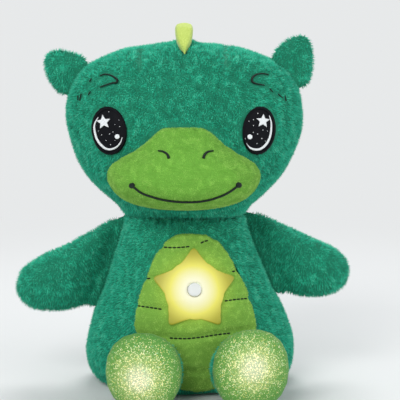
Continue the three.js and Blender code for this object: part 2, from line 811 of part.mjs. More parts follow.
// Muzzle, a half pillow that rises forward from its sewn outline and grows rounder
const muzzleHalf = pairsToPoints(muzzleShares, MUZZLE_WIDTH / 2, MUZZLE_HEIGHT).reverse();
const muzzleOutline = smoothOutline(mirroredOutline(muzzleHalf), MUZZLE_OUTLINE);
const muzzleMiddle = new THREE.Vector2(0, MUZZLE_HEIGHT * muzzleMiddleShare);
const [risePower, endPower] = muzzlePowers;
const muzzleSkin = muzzleRings.map((share) => {
  const reach = MUZZLE_ROOT + MUZZLE_DEPTH * (1 - share ** risePower) ** (1 / endPower);
  return muzzleOutline.map((point) => {
    const spoke = point.clone().sub(muzzleMiddle);
    const oval = new THREE.Vector2(
      ((MUZZLE_WIDTH / 2) * spoke.x) / spoke.length(),
      (muzzleMiddle.y * spoke.y) / spoke.length(),
    );
    const spot = oval.lerp(spoke, share ** 2).multiplyScalar(share).add(muzzleMiddle);
    return new THREE.Vector3(spot.x, -reach, spot.y + MUZZLE_BOTTOM);
  });
});
addPart(head, 'muzzle', solidOf(loft(muzzleSkin)).subtract(headOut(SEAM_GAP)), limePlush());

// Embroidered eye patches that follow the face
for (const side of [-1, 1]) {
  const oval = new THREE.EllipseCurve(
    side * EYE_SPREAD, EYE_HEIGHT, EYE_WIDTH / 2, EYE_LENGTH / 2, 0, 2 * Math.PI, false, -side * EYE_LEAN,
  );
  const patch = headOut(SEAM_GAP + EYE_WALL)
    .subtract(headOut(SEAM_GAP))
    .intersect(frontPrism(oval.getPoints(EYE_OUTLINE).slice(0, -1)));
  addPart(head, side < 0 ? 'eye_right' : 'eye_left', patch, finish(0x14161a, 0.5));
}

// Ears
const earOutline = smoothOutline(pairsToPoints(earShares, EAR_WIDTH / 2, EAR_LENGTH), EAR_OUTLINE);
const earSpread = (earSpreadShare * HEAD_WIDTH) / 2;
const earHeight = earHeightShare * HEAD_HEIGHT;
for (const { name, side, tilt, spreadShare, heightShare } of ears) {
  const place = new THREE.Matrix4()
    .makeTranslation(side * earSpread * spreadShare, -EAR_FORWARD, earHeight * heightShare)
    .multiply(new THREE.Matrix4().makeRotationY(side * tilt))
    .multiply(new THREE.Matrix4().makeRotationX(Math.PI / 2 - EAR_BACK_LEAN))
    .multiply(new THREE.Matrix4().makeScale(side, 1, 1));
  const ear = pillow(earOutline, new THREE.Vector2(0, EAR_LENGTH / 3), EAR_THICKNESS, roundRise, place);
  addPart(head, name, ear.subtract(headOut(SEAM_GAP)), darkPlush());
}

// Crest spikes, whose local X runs down the back and local Y points out of it
const spikeOutline = smoothOutline(pairsToPoints(spikeShares, SPIKE_BASE, SPIKE_HEIGHT), SPIKE_OUTLINE);
function spike(y, z, lean, share) {
  const place = new THREE.Matrix4()
    .makeTranslation(0, y, z)
    .multiply(new THREE.Matrix4().makeBasis(
      new THREE.Vector3(0, Math.cos(lean), -Math.sin(lean)),
      new THREE.Vector3(0, Math.sin(lean), Math.cos(lean)),
      new THREE.Vector3(1, 0, 0),
    ))
    .multiply(new THREE.Matrix4().makeScale(share, share, share));
  return pillow(spikeOutline, new THREE.Vector2(0, SPIKE_HEIGHT / 4), SPIKE_THICKNESS, roundRise, place);
}

function backSpike(form, { heightShare, sizeShare }) {
  const z = heightShare * form.height;
  const reach = (SPIKE_BASE * sizeShare) / 3;
  const slope = sectionAt(form, z - reach).back - sectionAt(form, z + reach).back;
  return spike(sectionAt(form, z).back, z, Math.PI / 2 - Math.atan2(slope, 2 * reach), sizeShare);
}

const crown = spike(-crownShare * FACE_REACH, HEAD_HEIGHT - CROWN_SINK, -CROWN_LEAN, 1);
addPart(head, 'crest_spike_1', crown.subtract(headOut(SEAM_GAP)), crestFabric());
backSpikes.forEach((size, i) => {
  const standing = backSpike(headForm, size).subtract(headOut(SEAM_GAP));
  addPart(head, `crest_spike_${i + 2}`, standing, crestFabric());
});
const shoulder = backSpike(torso, shoulderSpike);
addPart(plush, `crest_spike_${backSpikes.length + 2}`, shoulder.subtract(torsoOut(SEAM_GAP)), crestFabric());

// Arms: each frame has X out of the seam, Y up along it and its origin in the seam's middle
for (const { name, side, seamShares, reachShare } of arms) {
  const [low, high] = seamShares.map((share) => {
    const section = sectionAt(torso, share * NECK_HEIGHT);
    return new THREE.Vector3(section.x + side * (section.side + SEAM_GAP), 0, share * NECK_HEIGHT);
  });
  const along = high.clone().sub(low).normalize();
  const out = new THREE.Vector3(side * along.z, 0, -side * along.x);
  const arm = new THREE.Group();
  arm.position.copy(low).lerp(high, 0.5);
  arm.setRotationFromMatrix(new THREE.Matrix4().makeBasis(out, along, out.clone().cross(along)));
  arm.updateMatrix();
  plush.add(arm);

  const seamHalf = high.distanceTo(low) / 2;
  const reach = ARM_REACH * reachShare;
  const onSeam = (share) => new THREE.Vector2(0, share * seamHalf);
  const mitt = new THREE.CatmullRomCurve3(
    [onSeam(1), ...pairsToPoints(armShares, reach, ARM_DROP), onSeam(-1)]
      .map(({ x, y }) => new THREE.Vector3(x, y, 0)),
    false,
    'centripetal',
  );
  const edge = mitt.getSpacedPoints(ARM_OUTLINE).map(({ x, y }) => new THREE.Vector2(x, y));
  const outline = [...edge, ...armSeamShares.map(onSeam)];
  const middle = new THREE.Vector2(armMiddleShares[0] * reach, armMiddleShares[1] * ARM_DROP);
  // Rounded along the mitt's edge, and a wedge of 45 degrees at the seam, which leaves room to swing
  const armRise = (share, i) => {
    const wedge = Math.min(1, ((1 - share) * middle.x) / (ARM_THICKNESS / 2));
    const rootness = THREE.MathUtils.clamp(1 - outline[i].x / (reach * armRootShare), 0, 1);
    return THREE.MathUtils.lerp(roundRise(share), wedge, rootness);
  };
  const flank = solidOf(grown(torsoSkin, SEAM_GAP), arm.matrix.clone().invert());
  addPart(arm, name, pillow(outline, middle, ARM_THICKNESS, armRise).subtract(flank), darkPlush());
}

// Legs
function legSkin(inset, count) {
  const rows = rowsOf(legShares, count).map(([reach, side, rise]) => [
    Math.min(reach, 1 - inset / LEG_LENGTH),
    Math.max(0, (side * LEG_WIDTH) / 2 - inset),
    Math.max(0, (rise * LEG_HEIGHT) / 2 - inset),
    THREE.MathUtils.lerp(0, FOOT_HEIGHT - HIP_HEIGHT, Math.min(1, reach / levelShare)),
  ]);
  const thick = rows.filter(([reach, , rise]) => inset === 0 || reach > levelShare || rise > inset);
  const rings = thick.map(([reach, side, rise, z]) =>
    ovalRing(new THREE.Vector3(), side, rise, rise, LEG_SQUARENESS, AROUND_LEG).map(
      (point) => new THREE.Vector3(point.x, -reach * LEG_LENGTH, point.y + z),
    ),
  );
  return solidOf(loft(rings));
}
const soleReach = soleShare * LEG_LENGTH;
const legSpan = (from, to) => block(LEG_WIDTH * 2, to - from, LEG_HEIGHT * 2, 0, -(from + to) / 2, 0);
const aboveFloor = slab(-HIP_HEIGHT, LEG_HEIGHT);
const lightDrop = FOOT_LIGHT_HEIGHT - HIP_HEIGHT;
const lightEnd = FOOT_LIGHT_START + FOOT_LIGHT_LENGTH;

// The foot light's frame: +Z out of the sole, zero at the back of its case
const footLightPlace = new THREE.Matrix4()
  .makeTranslation(0, -FOOT_LIGHT_START, lightDrop)
  .multiply(new THREE.Matrix4().makeRotationX(Math.PI / 2));

for (const [side, hip] of Object.entries(hips)) {
  const skin = legSkin(0, LEG_ROWS).intersect(aboveFloor);
  const hollow = legSkin(COVER_WALL, legShares.length).intersect(slab(COVER_WALL - HIP_HEIGHT, LEG_HEIGHT));
  const wireRoute = [
    new THREE.Vector3(0, -WIRE_JOINT_GAP, 0),
    new THREE.Vector3(0, -soleReach / 3, lightDrop / 3),
    new THREE.Vector3(0, -FOOT_LIGHT_START + WIRE_CHANNEL_RADIUS, lightDrop),
  ];
  const channelRoute = [new THREE.Vector3(0, WIRE_CHANNEL_RADIUS, 0), ...wireRoute.slice(1)];
  const wireChannel = channel(channelRoute, CHANNEL_STEPS / 4);
  const shell = skin.subtract(hollow);
  const cover = shell.intersect(legSpan(-OVERRUN, soleReach - SEAM_GAP / 2)).subtract(wireChannel);
  addPart(hip, `leg_cover_${side}`, cover, darkPlush());
  const sole = shell.intersect(legSpan(soleReach + SEAM_GAP / 2, LEG_LENGTH * 2));
  addPart(hip, `sole_${side}`, sole, finish(0x96c369, 0.6));

  const lampRoom = rod(FOOT_LIGHT_RADIUS + FIT_GAP, -FIT_GAP, OVERRUN, AROUND_LAMP, footLightPlace);
  const padInset = COVER_WALL + SEAM_GAP;
  const pad = legSkin(padInset, legShares.length).intersect(slab(padInset - HIP_HEIGHT, LEG_HEIGHT));
  addPart(hip, `leg_stuffing_${side}`, cut(pad, lampRoom, wireChannel), fibre());
  addPart(hip, `leg_wire_${side}`, wire(wireRoute, WIRE_RADIUS, WIRE_STEPS / 2), finish(0x2b2b2e, 0.5));
  addPart(plush, `hip_wire_${side}`, wire(hipRoutes[side], WIRE_RADIUS, WIRE_STEPS), finish(0x2b2b2e, 0.5));

  const lamp = new THREE.Group();
  lamp.applyMatrix4(footLightPlace);
  hip.add(lamp);
  const inner = FOOT_LIGHT_RADIUS - FOOT_WALL;
  const footCase = turned(
    [
      [0, 0],
      [FOOT_LIGHT_RADIUS, 0],
      [FOOT_LIGHT_RADIUS, FOOT_LIGHT_LENGTH],
      [inner, FOOT_LIGHT_LENGTH],
      [inner, FOOT_WALL],
      [0, FOOT_WALL],
    ],
    AROUND_LAMP,
  );
  addPart(lamp, `foot_light_case_${side}`, footCase, whitePlastic());
  const boardStart = FOOT_WALL + FIT_GAP;
  const ledStart = boardStart + FOOT_BOARD_WALL;
  const footLed = join(
    rod(inner - FIT_GAP, boardStart, ledStart, AROUND_LAMP),
    ledShape(ledStart - FIT_GAP, FOOT_LIGHT_LENGTH - FOOT_WALL),
  );
  addPart(lamp, `foot_led_${side}`, footLed, finish(0xf4f1d8, 0.3));
  const lensStart = FOOT_LIGHT_LENGTH + FIT_GAP;
  const lensProfile = (radius, start, rise) =>
    quarterShares.map((share) => [
      radius * Math.cos((share * Math.PI) / 2),
      start + rise * Math.sin((share * Math.PI) / 2),
    ]);
  const lens = turned(
    [
      ...lensProfile(FOOT_LIGHT_RADIUS, lensStart, FOOT_LENS_RISE),
      ...lensProfile(inner, lensStart, FOOT_LENS_RISE - FOOT_WALL).reverse(),
      [FOOT_LIGHT_RADIUS, lensStart],
    ],
    AROUND_LAMP,
  );
  addPart(lamp, `foot_light_dome_${side}`, lens, finish(0xf6f6ea, 0.3));
  plush.add(hip);
}

// Tail, laid back on the floor
const tailRings = rowsOf(tailShares, tailShares.length).map(([reach, side, rise]) => {
  const y = TAIL_ROOT + reach * (BACK_REACH - TAIL_ROOT + TAIL_LENGTH);
  const height = (rise * TAIL_HEIGHT) / 2;
  const halfWidth = (side * TAIL_WIDTH) / 2;
  return ovalRing(new THREE.Vector3(), halfWidth, height, height, LEG_SQUARENESS, AROUND_LEG).map(
    (point) => new THREE.Vector3(point.x, y, point.y + height - tailFlatShare * TAIL_HEIGHT),
  );
});
const tail = solidOf(loft(tailRings)).intersect(slab(0, NECK_HEIGHT)).subtract(torsoOut(SEAM_GAP));
addPart(plush, 'tail', tail, darkPlush());

// Back flap with a folded hem at its top and a touch fastener at its bottom
const flapStart = 3 * SEAM_GAP + 2 * TOUCH_WALL;
const flapOutline = roundedBox(FLAP_WIDTH, FLAP_BOTTOM, FLAP_TOP, FLAP_CORNER);
const flapPrism = backPrism(flapOutline, 0);
const hemSlab = slab(FLAP_TOP - FLAP_HEM, FLAP_TOP);
const flapSheet = torsoLayer(flapStart, flapStart + PANEL_WALL);
const flapHem = torsoLayer(2 * SEAM_GAP, flapStart + PANEL_WALL).intersect(hemSlab);
addPart(plush, 'back_flap', join(flapSheet, flapHem).intersect(flapPrism), darkPlush());
const touchOutline = roundedBox(TOUCH_WIDTH, TOUCH_BOTTOM, TOUCH_BOTTOM + TOUCH_HEIGHT, TOUCH_HEIGHT / 4);
const touchPrism = backPrism(touchOutline, 0);
const loopStrip = torsoLayer(SEAM_GAP, SEAM_GAP + TOUCH_WALL).intersect(touchPrism);
const hookStart = 2 * SEAM_GAP + TOUCH_WALL;
const hookStrip = torsoLayer(hookStart, hookStart + TOUCH_WALL).intersect(touchPrism);
addPart(plush, 'flap_loop_strip', loopStrip, finish(0x1d6e55, 0.95));
addPart(plush, 'flap_hook_strip', hookStrip, finish(0x1b5c49, 0.8));

// Star light: diffuser dome, reflector dish, board, case and back
const torsoFromLight = (distance) => solidOf(grown(torsoSkin, distance), toLight);
const domeReach = starHoleReach - 2 * FIT_GAP;
const domeStar = (reach) => prism(starOutline(reach), flangeBottom, LIGHT_DEPTH + OVERRUN);
const hollowStar = starOutline(domeReach - DOME_WALL / starWaistShare);
const domeHollow = prism(hollowStar, flangeBottom - OVERRUN, 3 * OVERRUN)
  .intersect(torsoFromLight(DOME_RISE - DOME_WALL));
const diffuser = cut(
  join(
    domeStar(domeReach).intersect(torsoFromLight(DOME_RISE)),
    rod(LIGHT_RADIUS, flangeBottom, -LIGHT_DEPTH, AROUND_DISC),
  ),
  domeHollow,
  rod(buttonHole, flangeBottom, OVERRUN, AROUND_BUTTON),
);
addPart(light, 'star_diffuser', diffuser, finish(0xf7f2cf, 0.35));

const caseInner = LIGHT_RADIUS - CASE_WALL;
const guideBore = BUTTON_SHAFT_RADIUS + RUNNING_GAP;
const guideOuter = guideBore + GUIDE_WALL;
const guideTop = dishFloorTop + GUIDE_LENGTH;
const lipOuter = caseInner - FIT_GAP;
const lipInner = lipOuter - DISH_LIP;
const dish = turned(
  [
    [guideBore, dishFloor],
    [DISH_FLOOR_RADIUS, dishFloor],
    [lipInner, rimTop - DISH_WALL],
    [lipOuter, rimTop - DISH_WALL],
    [lipOuter, rimTop],
    [lipInner, rimTop],
    [DISH_FLOOR_RADIUS - DISH_WALL, dishFloorTop],
    [guideOuter, dishFloorTop],
    [guideOuter, guideTop],
    [guideBore, guideTop],
    [guideBore, dishFloor],
  ],
  AROUND_DISC,
);
const ringPlace = (radius, i, count, turn = 0) => {
  const angle = ((i + turn) / count) * 2 * Math.PI;
  return new THREE.Matrix4().makeTranslation(radius * Math.cos(angle), radius * Math.sin(angle), 0);
};
const ledPlaces = Array.from({ length: LED_COUNT }, (_, i) =>
  ringPlace(LED_RING_RADIUS, i, LED_COUNT, 0.25),
);
const ledHoles = ledPlaces.map((place) => rod(LED_RADIUS + FIT_GAP, shelfTop, rimTop, AROUND_BORE, place));
addPart(light, 'reflector', cut(dish, ...ledHoles), whitePlastic());

function ledShape(start, end, place) {
  const dome = quarterShares.map((share) => [
    LED_RADIUS * Math.cos((share * Math.PI) / 2),
    end - LED_RADIUS * (1 - Math.sin((share * Math.PI) / 2)),
  ]);
  return turned([[0, start], [LED_RADIUS, start], ...dome], AROUND_BORE, place);
}
const leds = ledPlaces.map((place) => ledShape(boardTop - FIT_GAP, dishFloorTop + LED_RISE, place));
const board = rod(BOARD_RADIUS, boardBottom, boardTop, AROUND_DISC);
addPart(light, 'light_board', join(board, ...leds), finish(0x2f6b4a, 0.5));

const screwPlaces = Array.from({ length: LIGHT_SCREW_COUNT }, (_, i) =>
  ringPlace(BOSS_RING_RADIUS, i, LIGHT_SCREW_COUNT, 0.75),
);
const screwHole = SCREW_RADIUS + FIT_GAP;
const housing = cut(
  join(
    ringWall(caseInner, LIGHT_RADIUS, caseBottom, rimTop, AROUND_DISC),
    ringWall(SHELF_RADIUS, caseInner + CASE_WALL / 2, shelfBottom, shelfTop, AROUND_DISC),
    ...screwPlaces.map((place) => rod(BOSS_RADIUS, caseBottom, shelfTop, AROUND_BORE, place)),
  ),
  ...screwPlaces.map((place) =>
    rod(screwHole, caseBottom - OVERRUN, caseBottom + SCREW_LENGTH, AROUND_BORE, place),
  ),
);
addPart(light, 'puck_case', housing, whitePlastic());

const headRoom = SCREW_HEAD_WALL + FIT_GAP;
const backPlate = cut(
  join(
    rod(LIGHT_RADIUS, backBottom, backTop, AROUND_DISC),
    ringWall(SHELF_RADIUS, SHELF_RADIUS + BACK_RIB_WALL, backBottom, boardBottom - FIT_GAP, AROUND_DISC),
  ),
  ...screwPlaces.flatMap((place) => [
    rod(screwHole, backBottom - OVERRUN, OVERRUN, AROUND_BORE, place),
    rod(SCREW_HEAD_RADIUS + FIT_GAP, backBottom - OVERRUN, backBottom + headRoom, AROUND_BORE, place),
  ]),
);
addPart(light, 'puck_back', backPlate, whitePlastic());

function screwShape(start, place) {
  const neck = start + SCREW_HEAD_WALL;
  return turned(
    [
      [0, start],
      [SCREW_HEAD_RADIUS, start],
      [SCREW_HEAD_RADIUS, neck],
      [SCREW_RADIUS, neck],
      [SCREW_RADIUS, neck + SCREW_LENGTH],
      [0, neck + SCREW_LENGTH],
    ],
    AROUND_BORE,
    place,
  );
}
screwPlaces.forEach((place, i) => {
  addPart(light, `puck_screw_${i + 1}`, screwShape(backBottom, place), steel());
});

// Button, its return spring and the switch under it
const tipRest = stemTop + BUTTON_TRAVEL + STOP_GAP;
const flangeTop = DOME_RISE - DOME_WALL - FIT_GAP - BUTTON_FLANGE_DROP;
const flangeUnder = flangeTop - BUTTON_FLANGE_WALL;
const button = turned(
  [
    [0, tipRest],
    [BUTTON_SHAFT_RADIUS, tipRest],
    [BUTTON_SHAFT_RADIUS, flangeUnder],
    [BUTTON_FLANGE_RADIUS, flangeUnder],
    [BUTTON_FLANGE_RADIUS, flangeTop],
    [BUTTON_RADIUS, flangeTop],
    [BUTTON_RADIUS, BUTTON_RISE - BUTTON_ROUNDING],
    [BUTTON_RADIUS - BUTTON_ROUNDING / 3, BUTTON_RISE - BUTTON_ROUNDING / 3],
    [BUTTON_RADIUS - BUTTON_ROUNDING, BUTTON_RISE],
    [0, BUTTON_RISE],
  ],
  AROUND_BUTTON,
);
addPart(light, 'button_plunger', button, greyPlastic());
const springEnds = [guideTop + FIT_GAP, flangeUnder - FIT_GAP];
const returnSpring = coil(SPRING_RADIUS, SPRING_WIRE, ...springEnds, SPRING_TURNS);
addPart(light, 'button_spring', returnSpring, steel());
const stem = rod(SWITCH_STEM_RADIUS, switchTop - FIT_GAP, stemTop, AROUND_BORE);
const switchBox = block(
  SWITCH_SIDE,
  SWITCH_SIDE,
  SWITCH_HEIGHT - FIT_GAP,
  0,
  0,
  boardTop + FIT_GAP + (SWITCH_HEIGHT - FIT_GAP) / 2,
);
addPart(light, 'switch_body', join(switchBox, stem), finish(0x202124, 0.5));

addPart(plush, 'supply_wire', wire(supplyRoute, WIRE_RADIUS, WIRE_STEPS / 2), finish(0x2b2b2e, 0.5));

// Battery case, its screwed door, cells and contact strips
const yTurn = (x, y, z) =>
  new THREE.Matrix4().makeTranslation(x, y, z).multiply(new THREE.Matrix4().makeRotationX(-Math.PI / 2));
const xTurn = (x, y, z, side) =>
  new THREE.Matrix4()
    .makeTranslation(x, y, z)
    .multiply(new THREE.Matrix4().makeRotationY((side * Math.PI) / 2));
const earBoss = (from, length) =>
  join(
    rod(EAR_BOSS_RADIUS, 0, length, AROUND_BUTTON, yTurn(0, from, earBossHeight)),
    block(EAR_BOSS_RADIUS * 2, length, EAR_BOSS_RISE * 2, 0, from + length / 2, batteryTop),
  );
const batteryBox = cut(
  join(
    block(BATTERY_WIDTH, BATTERY_DEPTH, BATTERY_HEIGHT, 0, BATTERY_FRONT + BATTERY_DEPTH / 2, batteryMiddle),
    earBoss(BATTERY_FRONT, BATTERY_DEPTH),
  ),
  block(
    BATTERY_WIDTH - 2 * BATTERY_WALL,
    BATTERY_DEPTH,
    BATTERY_HEIGHT - 2 * BATTERY_WALL,
    0,
    BATTERY_FRONT + BATTERY_WALL + BATTERY_DEPTH / 2,
    batteryMiddle,
  ),
  rod(screwHole, 0, OVERRUN, AROUND_BORE, yTurn(0, batteryBack - SCREW_LENGTH, earBossHeight)),
);
addPart(plush, 'battery_case', batteryBox, whitePlastic());

const doorFront = batteryBack + FIT_GAP;
const cellMiddle = BATTERY_FRONT + BATTERY_WALL + FIT_GAP + CELL_RADIUS;
const pressFrom = cellMiddle + CELL_RADIUS + FIT_GAP;
const door = cut(
  join(
    block(BATTERY_WIDTH, DOOR_WALL, BATTERY_HEIGHT, 0, doorFront + DOOR_WALL / 2, batteryMiddle),
    block(
      CELL_LENGTH / 2,
      doorFront + DOOR_WALL / 2 - pressFrom,
      BATTERY_HEIGHT - 4 * BATTERY_WALL,
      0,
      (doorFront + DOOR_WALL / 2 + pressFrom) / 2,
      batteryMiddle,
    ),
    earBoss(doorFront, DOOR_WALL),
  ),
  rod(screwHole, 0, OVERRUN, AROUND_BORE, yTurn(0, doorFront - FIT_GAP, earBossHeight)),
);
addPart(plush, 'battery_door', door, whitePlastic());
const doorBack = doorFront + DOOR_WALL;
const doorScrew = screwShape(0, new THREE.Matrix4()
  .makeTranslation(0, doorBack + FIT_GAP + SCREW_HEAD_WALL, earBossHeight)
  .multiply(new THREE.Matrix4().makeRotationX(Math.PI / 2)));
addPart(plush, 'door_screw', doorScrew, steel());

const cellPitch = (BATTERY_HEIGHT - 2 * BATTERY_WALL) / CELL_COUNT;
const cellRoom = BATTERY_WIDTH / 2 - BATTERY_WALL - FIT_GAP - CONTACT_WALL;
const nubReach = cellRoom - CONTACT_DIMPLE - FIT_GAP;
const cellEnd = nubReach - CELL_NUB_LENGTH - CELL_LENGTH;
const cellPlaces = Array.from({ length: CELL_COUNT }, (_, i) => ({
  z: BATTERY_BOTTOM + BATTERY_WALL + cellPitch * (i + 0.5),
  side: i % 2 ? -1 : 1, // neighbours lie head to tail
}));
cellPlaces.forEach(({ z, side }, i) => {
  const cell = turned(
    [
      [0, cellEnd],
      [CELL_RADIUS, cellEnd],
      [CELL_RADIUS, nubReach - CELL_NUB_LENGTH],
      [CELL_NUB_RADIUS, nubReach - CELL_NUB_LENGTH],
      [CELL_NUB_RADIUS, nubReach],
      [0, nubReach],
    ],
    AROUND_BUTTON,
    xTurn(0, cellMiddle, z, side),
  );
  addPart(plush, `cell_${i + 1}`, cell, finish(0x2f3338, 0.4, 0.6));
});
for (const strip of [-1, 1]) {
  const plate = block(
    CONTACT_WALL,
    CONTACT_WIDTH,
    BATTERY_HEIGHT - 2 * BATTERY_WALL - 2 * FIT_GAP,
    strip * (cellRoom + CONTACT_WALL / 2),
    cellMiddle,
    batteryMiddle,
  );
  const touches = cellPlaces.map(({ z, side }) => {
    const place = xTurn(0, cellMiddle, z, -strip);
    if (side === strip) {
      const ends = [-cellRoom - CONTACT_WALL / 2, CONTACT_DIMPLE - cellRoom];
      return rod(CELL_NUB_RADIUS, ...ends, AROUND_BORE, place);
    }
    const from = -cellRoom - CONTACT_WALL;
    const turns = coil(CONTACT_COIL_RADIUS, CONTACT_WIRE, from, cellEnd - FIT_GAP, CONTACT_TURNS);
    return turns.transform(place.elements);
  });
  addPart(plush, strip < 0 ? 'contact_strip_right' : 'contact_strip_left', join(plate, ...touches), steel());
}

export default plush;
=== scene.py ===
import math

import bmesh
import bpy
from mathutils import Matrix, Vector, noise
from mathutils.bvhtree import BVHTree
from mathutils.kdtree import KDTree


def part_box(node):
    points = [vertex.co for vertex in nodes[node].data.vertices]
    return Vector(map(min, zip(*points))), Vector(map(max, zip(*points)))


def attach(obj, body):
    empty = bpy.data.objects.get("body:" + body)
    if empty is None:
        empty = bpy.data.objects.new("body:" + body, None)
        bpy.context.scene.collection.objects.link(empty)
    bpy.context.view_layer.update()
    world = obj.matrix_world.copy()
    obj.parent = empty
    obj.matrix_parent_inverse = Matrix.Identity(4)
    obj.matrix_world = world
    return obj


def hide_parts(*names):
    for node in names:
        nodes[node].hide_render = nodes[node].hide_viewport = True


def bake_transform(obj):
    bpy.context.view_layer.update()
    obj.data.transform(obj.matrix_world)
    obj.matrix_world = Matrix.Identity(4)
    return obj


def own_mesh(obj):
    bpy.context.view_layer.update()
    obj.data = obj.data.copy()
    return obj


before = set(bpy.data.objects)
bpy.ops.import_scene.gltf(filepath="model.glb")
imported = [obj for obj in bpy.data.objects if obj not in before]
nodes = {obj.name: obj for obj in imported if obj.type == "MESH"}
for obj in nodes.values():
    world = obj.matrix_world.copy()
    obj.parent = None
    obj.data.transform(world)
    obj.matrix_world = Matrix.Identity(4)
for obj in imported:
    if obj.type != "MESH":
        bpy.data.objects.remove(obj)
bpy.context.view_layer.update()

scene = bpy.context.scene
scene.view_settings.view_transform = "Standard"

# Camera
# A long lens at the height of the toy's chest, a little above it and a little to its
# right, so that the nearer feet stand lower in the frame than the body does.
FRAME_WIDTH = 0.328
VIEW_DISTANCE = 1.25
VIEW_RISE = math.radians(8)
VIEW_TURN = math.radians(-3)
VIEW_CENTRE = Vector((0.0077, 0, 0.1498))

lens = bpy.data.cameras.new("camera")
lens.sensor_width = 36
lens.lens = lens.sensor_width * VIEW_DISTANCE / FRAME_WIDTH
camera = bpy.data.objects.new("camera", lens)
scene.collection.objects.link(camera)
camera.matrix_world = (
    Matrix.Translation(VIEW_CENTRE)
    @ Matrix.Rotation(VIEW_TURN, 4, "Z")
    @ Matrix.Rotation(math.pi / 2 - VIEW_RISE, 4, "X")
    @ Matrix.Translation((0, 0, VIEW_DISTANCE))
)
scene.camera = camera

# Studio
# A wide pale floor that fades into air of the same tone, with three wide soft lamps: one
# high in front, one low from the other side, and one behind that edges the pile.
FLOOR_REACH = 40
PALE = (0.76, 0.77, 0.765, 1)
BACKDROP = (0.8, 0.815, 0.82, 1)
AIR = (0.93, 0.96, 1, 1)
AIR_LEVEL = 0.52
PAPER_FADE = (0.3, 0.9)


def made_object(form, name):
    """A new object from a bmesh, with its place in its mesh."""
    mesh = bpy.data.meshes.new(name)
    form.to_mesh(mesh)
    form.free()
    made = bpy.data.objects.new(name, mesh)
    scene.collection.objects.link(made)
    return made


sheet = bmesh.new()
bmesh.ops.create_grid(sheet, x_segments=1, y_segments=1, size=FLOOR_REACH)
floor = made_object(sheet, "floor")


def add(tree, kind, inputs=(), **options):
    """A node with its options and inputs, each input a value or another node's output."""
    node = tree.nodes.new(kind)
    for option, value in options.items():
        setattr(node, option, value)
    for socket, source in dict(inputs).items():
        if isinstance(source, bpy.types.NodeSocket):
            tree.links.new(source, node.inputs[socket])
        else:
            node.inputs[socket].default_value = source
    return node


def joined(tree, source, target):
    tree.links.new(source, target)


def worked(tree, kind, *values):
    """The result of a sum over numbers."""
    return add(tree, "ShaderNodeMath", dict(enumerate(values)), operation=kind).outputs[0]


def ranged(tree, level, low, high, start=0.0, end=1.0, **options):
    """A level that runs from start to end, made to run from low to high."""
    return add(tree, "ShaderNodeMapRange", {0: level, 1: start, 2: end, 3: low, 4: high}, **options).outputs[0]


def blended(tree, share, first, second):
    """A colour between two."""
    return add(tree, "ShaderNodeMix", {0: share, 6: first, 7: second}, data_type="RGBA").outputs[2]


def place_on(tree):
    """Where on the object a point lies."""
    return add(tree, "ShaderNodeTexCoord").outputs["Object"]


def looked_at(tree):
    """1 for rays that see a surface straight, in gloss or through glass, 0 for its light on others."""
    rays = add(tree, "ShaderNodeLightPath").outputs
    either = worked(tree, "MAXIMUM", rays["Is Camera Ray"], rays["Is Glossy Ray"])
    return worked(tree, "MAXIMUM", either, rays["Is Transmission Ray"])


paper = bpy.data.materials.new("pale paper")
paper.use_nodes = True
paper_tree = paper.node_tree
shader = paper_tree.nodes["Principled BSDF"]
shader.inputs["Base Color"].default_value = PALE
shader.inputs["Roughness"].default_value = 0.9
away = add(paper_tree, "ShaderNodeVectorMath", {0: place_on(paper_tree)}, operation="LENGTH").outputs["Value"]
far = ranged(paper_tree, away, 0.0, 1.0, *PAPER_FADE, interpolation_type="SMOOTHSTEP")
share = worked(paper_tree, "MULTIPLY", looked_at(paper_tree), far)
even = add(paper_tree, "ShaderNodeEmission", {"Color": BACKDROP, "Strength": 1.0}).outputs[0]
paper_end = add(paper_tree, "ShaderNodeMixShader", {0: share, 1: shader.outputs[0], 2: even}).outputs[0]
joined(paper_tree, paper_end, paper_tree.nodes["Material Output"].inputs[0])
floor.data.materials.append(paper)

world = bpy.data.worlds.new("studio air")
world.use_nodes = True
air = world.node_tree.nodes["Background"]
straight = looked_at(world.node_tree)
joined(world.node_tree, blended(world.node_tree, straight, AIR, BACKDROP), air.inputs["Color"])
joined(world.node_tree, ranged(world.node_tree, straight, AIR_LEVEL, 1.0), air.inputs["Strength"])
scene.world = world

STUDIO_LAMPS = (
    ("key lamp", (-0.8, -1.5, 1.25), 1.1, 22),
    ("fill lamp", (1.3, -1.0, 0.5), 1.4, 9),
    ("edge lamp", (0.2, 0.9, 1.5), 1.0, 14),
)
for name, place, size, power in STUDIO_LAMPS:
    lamp = bpy.data.lights.new(name, "AREA")
    lamp.size = size
    lamp.energy = power
    lamp_object = bpy.data.objects.new(name, lamp)
    aim = Vector((0, 0, 0.15)) - Vector(place)
    lamp_object.matrix_world = Matrix.Translation(place) @ aim.to_track_quat("-Z", "Y").to_matrix().to_4x4()
    scene.collection.objects.link(lamp_object)

# Star light
# The lamp in the belly: a milky moulded star over a white dish, a board with three lamps,
# a screwed white case, and a sprung button that stands in the middle of the star.
LAMP_CENTRE = Vector((-0.00006, -0.06307, 0.0873))
LAMP_WAY = Vector((0, -0.95806, 0.28657))


def new_group(name, kind, inputs, outputs):
    """A node group with named sockets, with its input and output nodes."""
    group = bpy.data.node_groups.new(name, kind)
    for way, sockets in (("INPUT", inputs), ("OUTPUT", outputs)):
        for socket, form, *default in sockets:
            made = group.interface.new_socket(socket, in_out=way, socket_type="NodeSocket" + form)
            if default:
                made.default_value = default[0]
    return group, group.nodes.new("NodeGroupInput").outputs, group.nodes.new("NodeGroupOutput").inputs


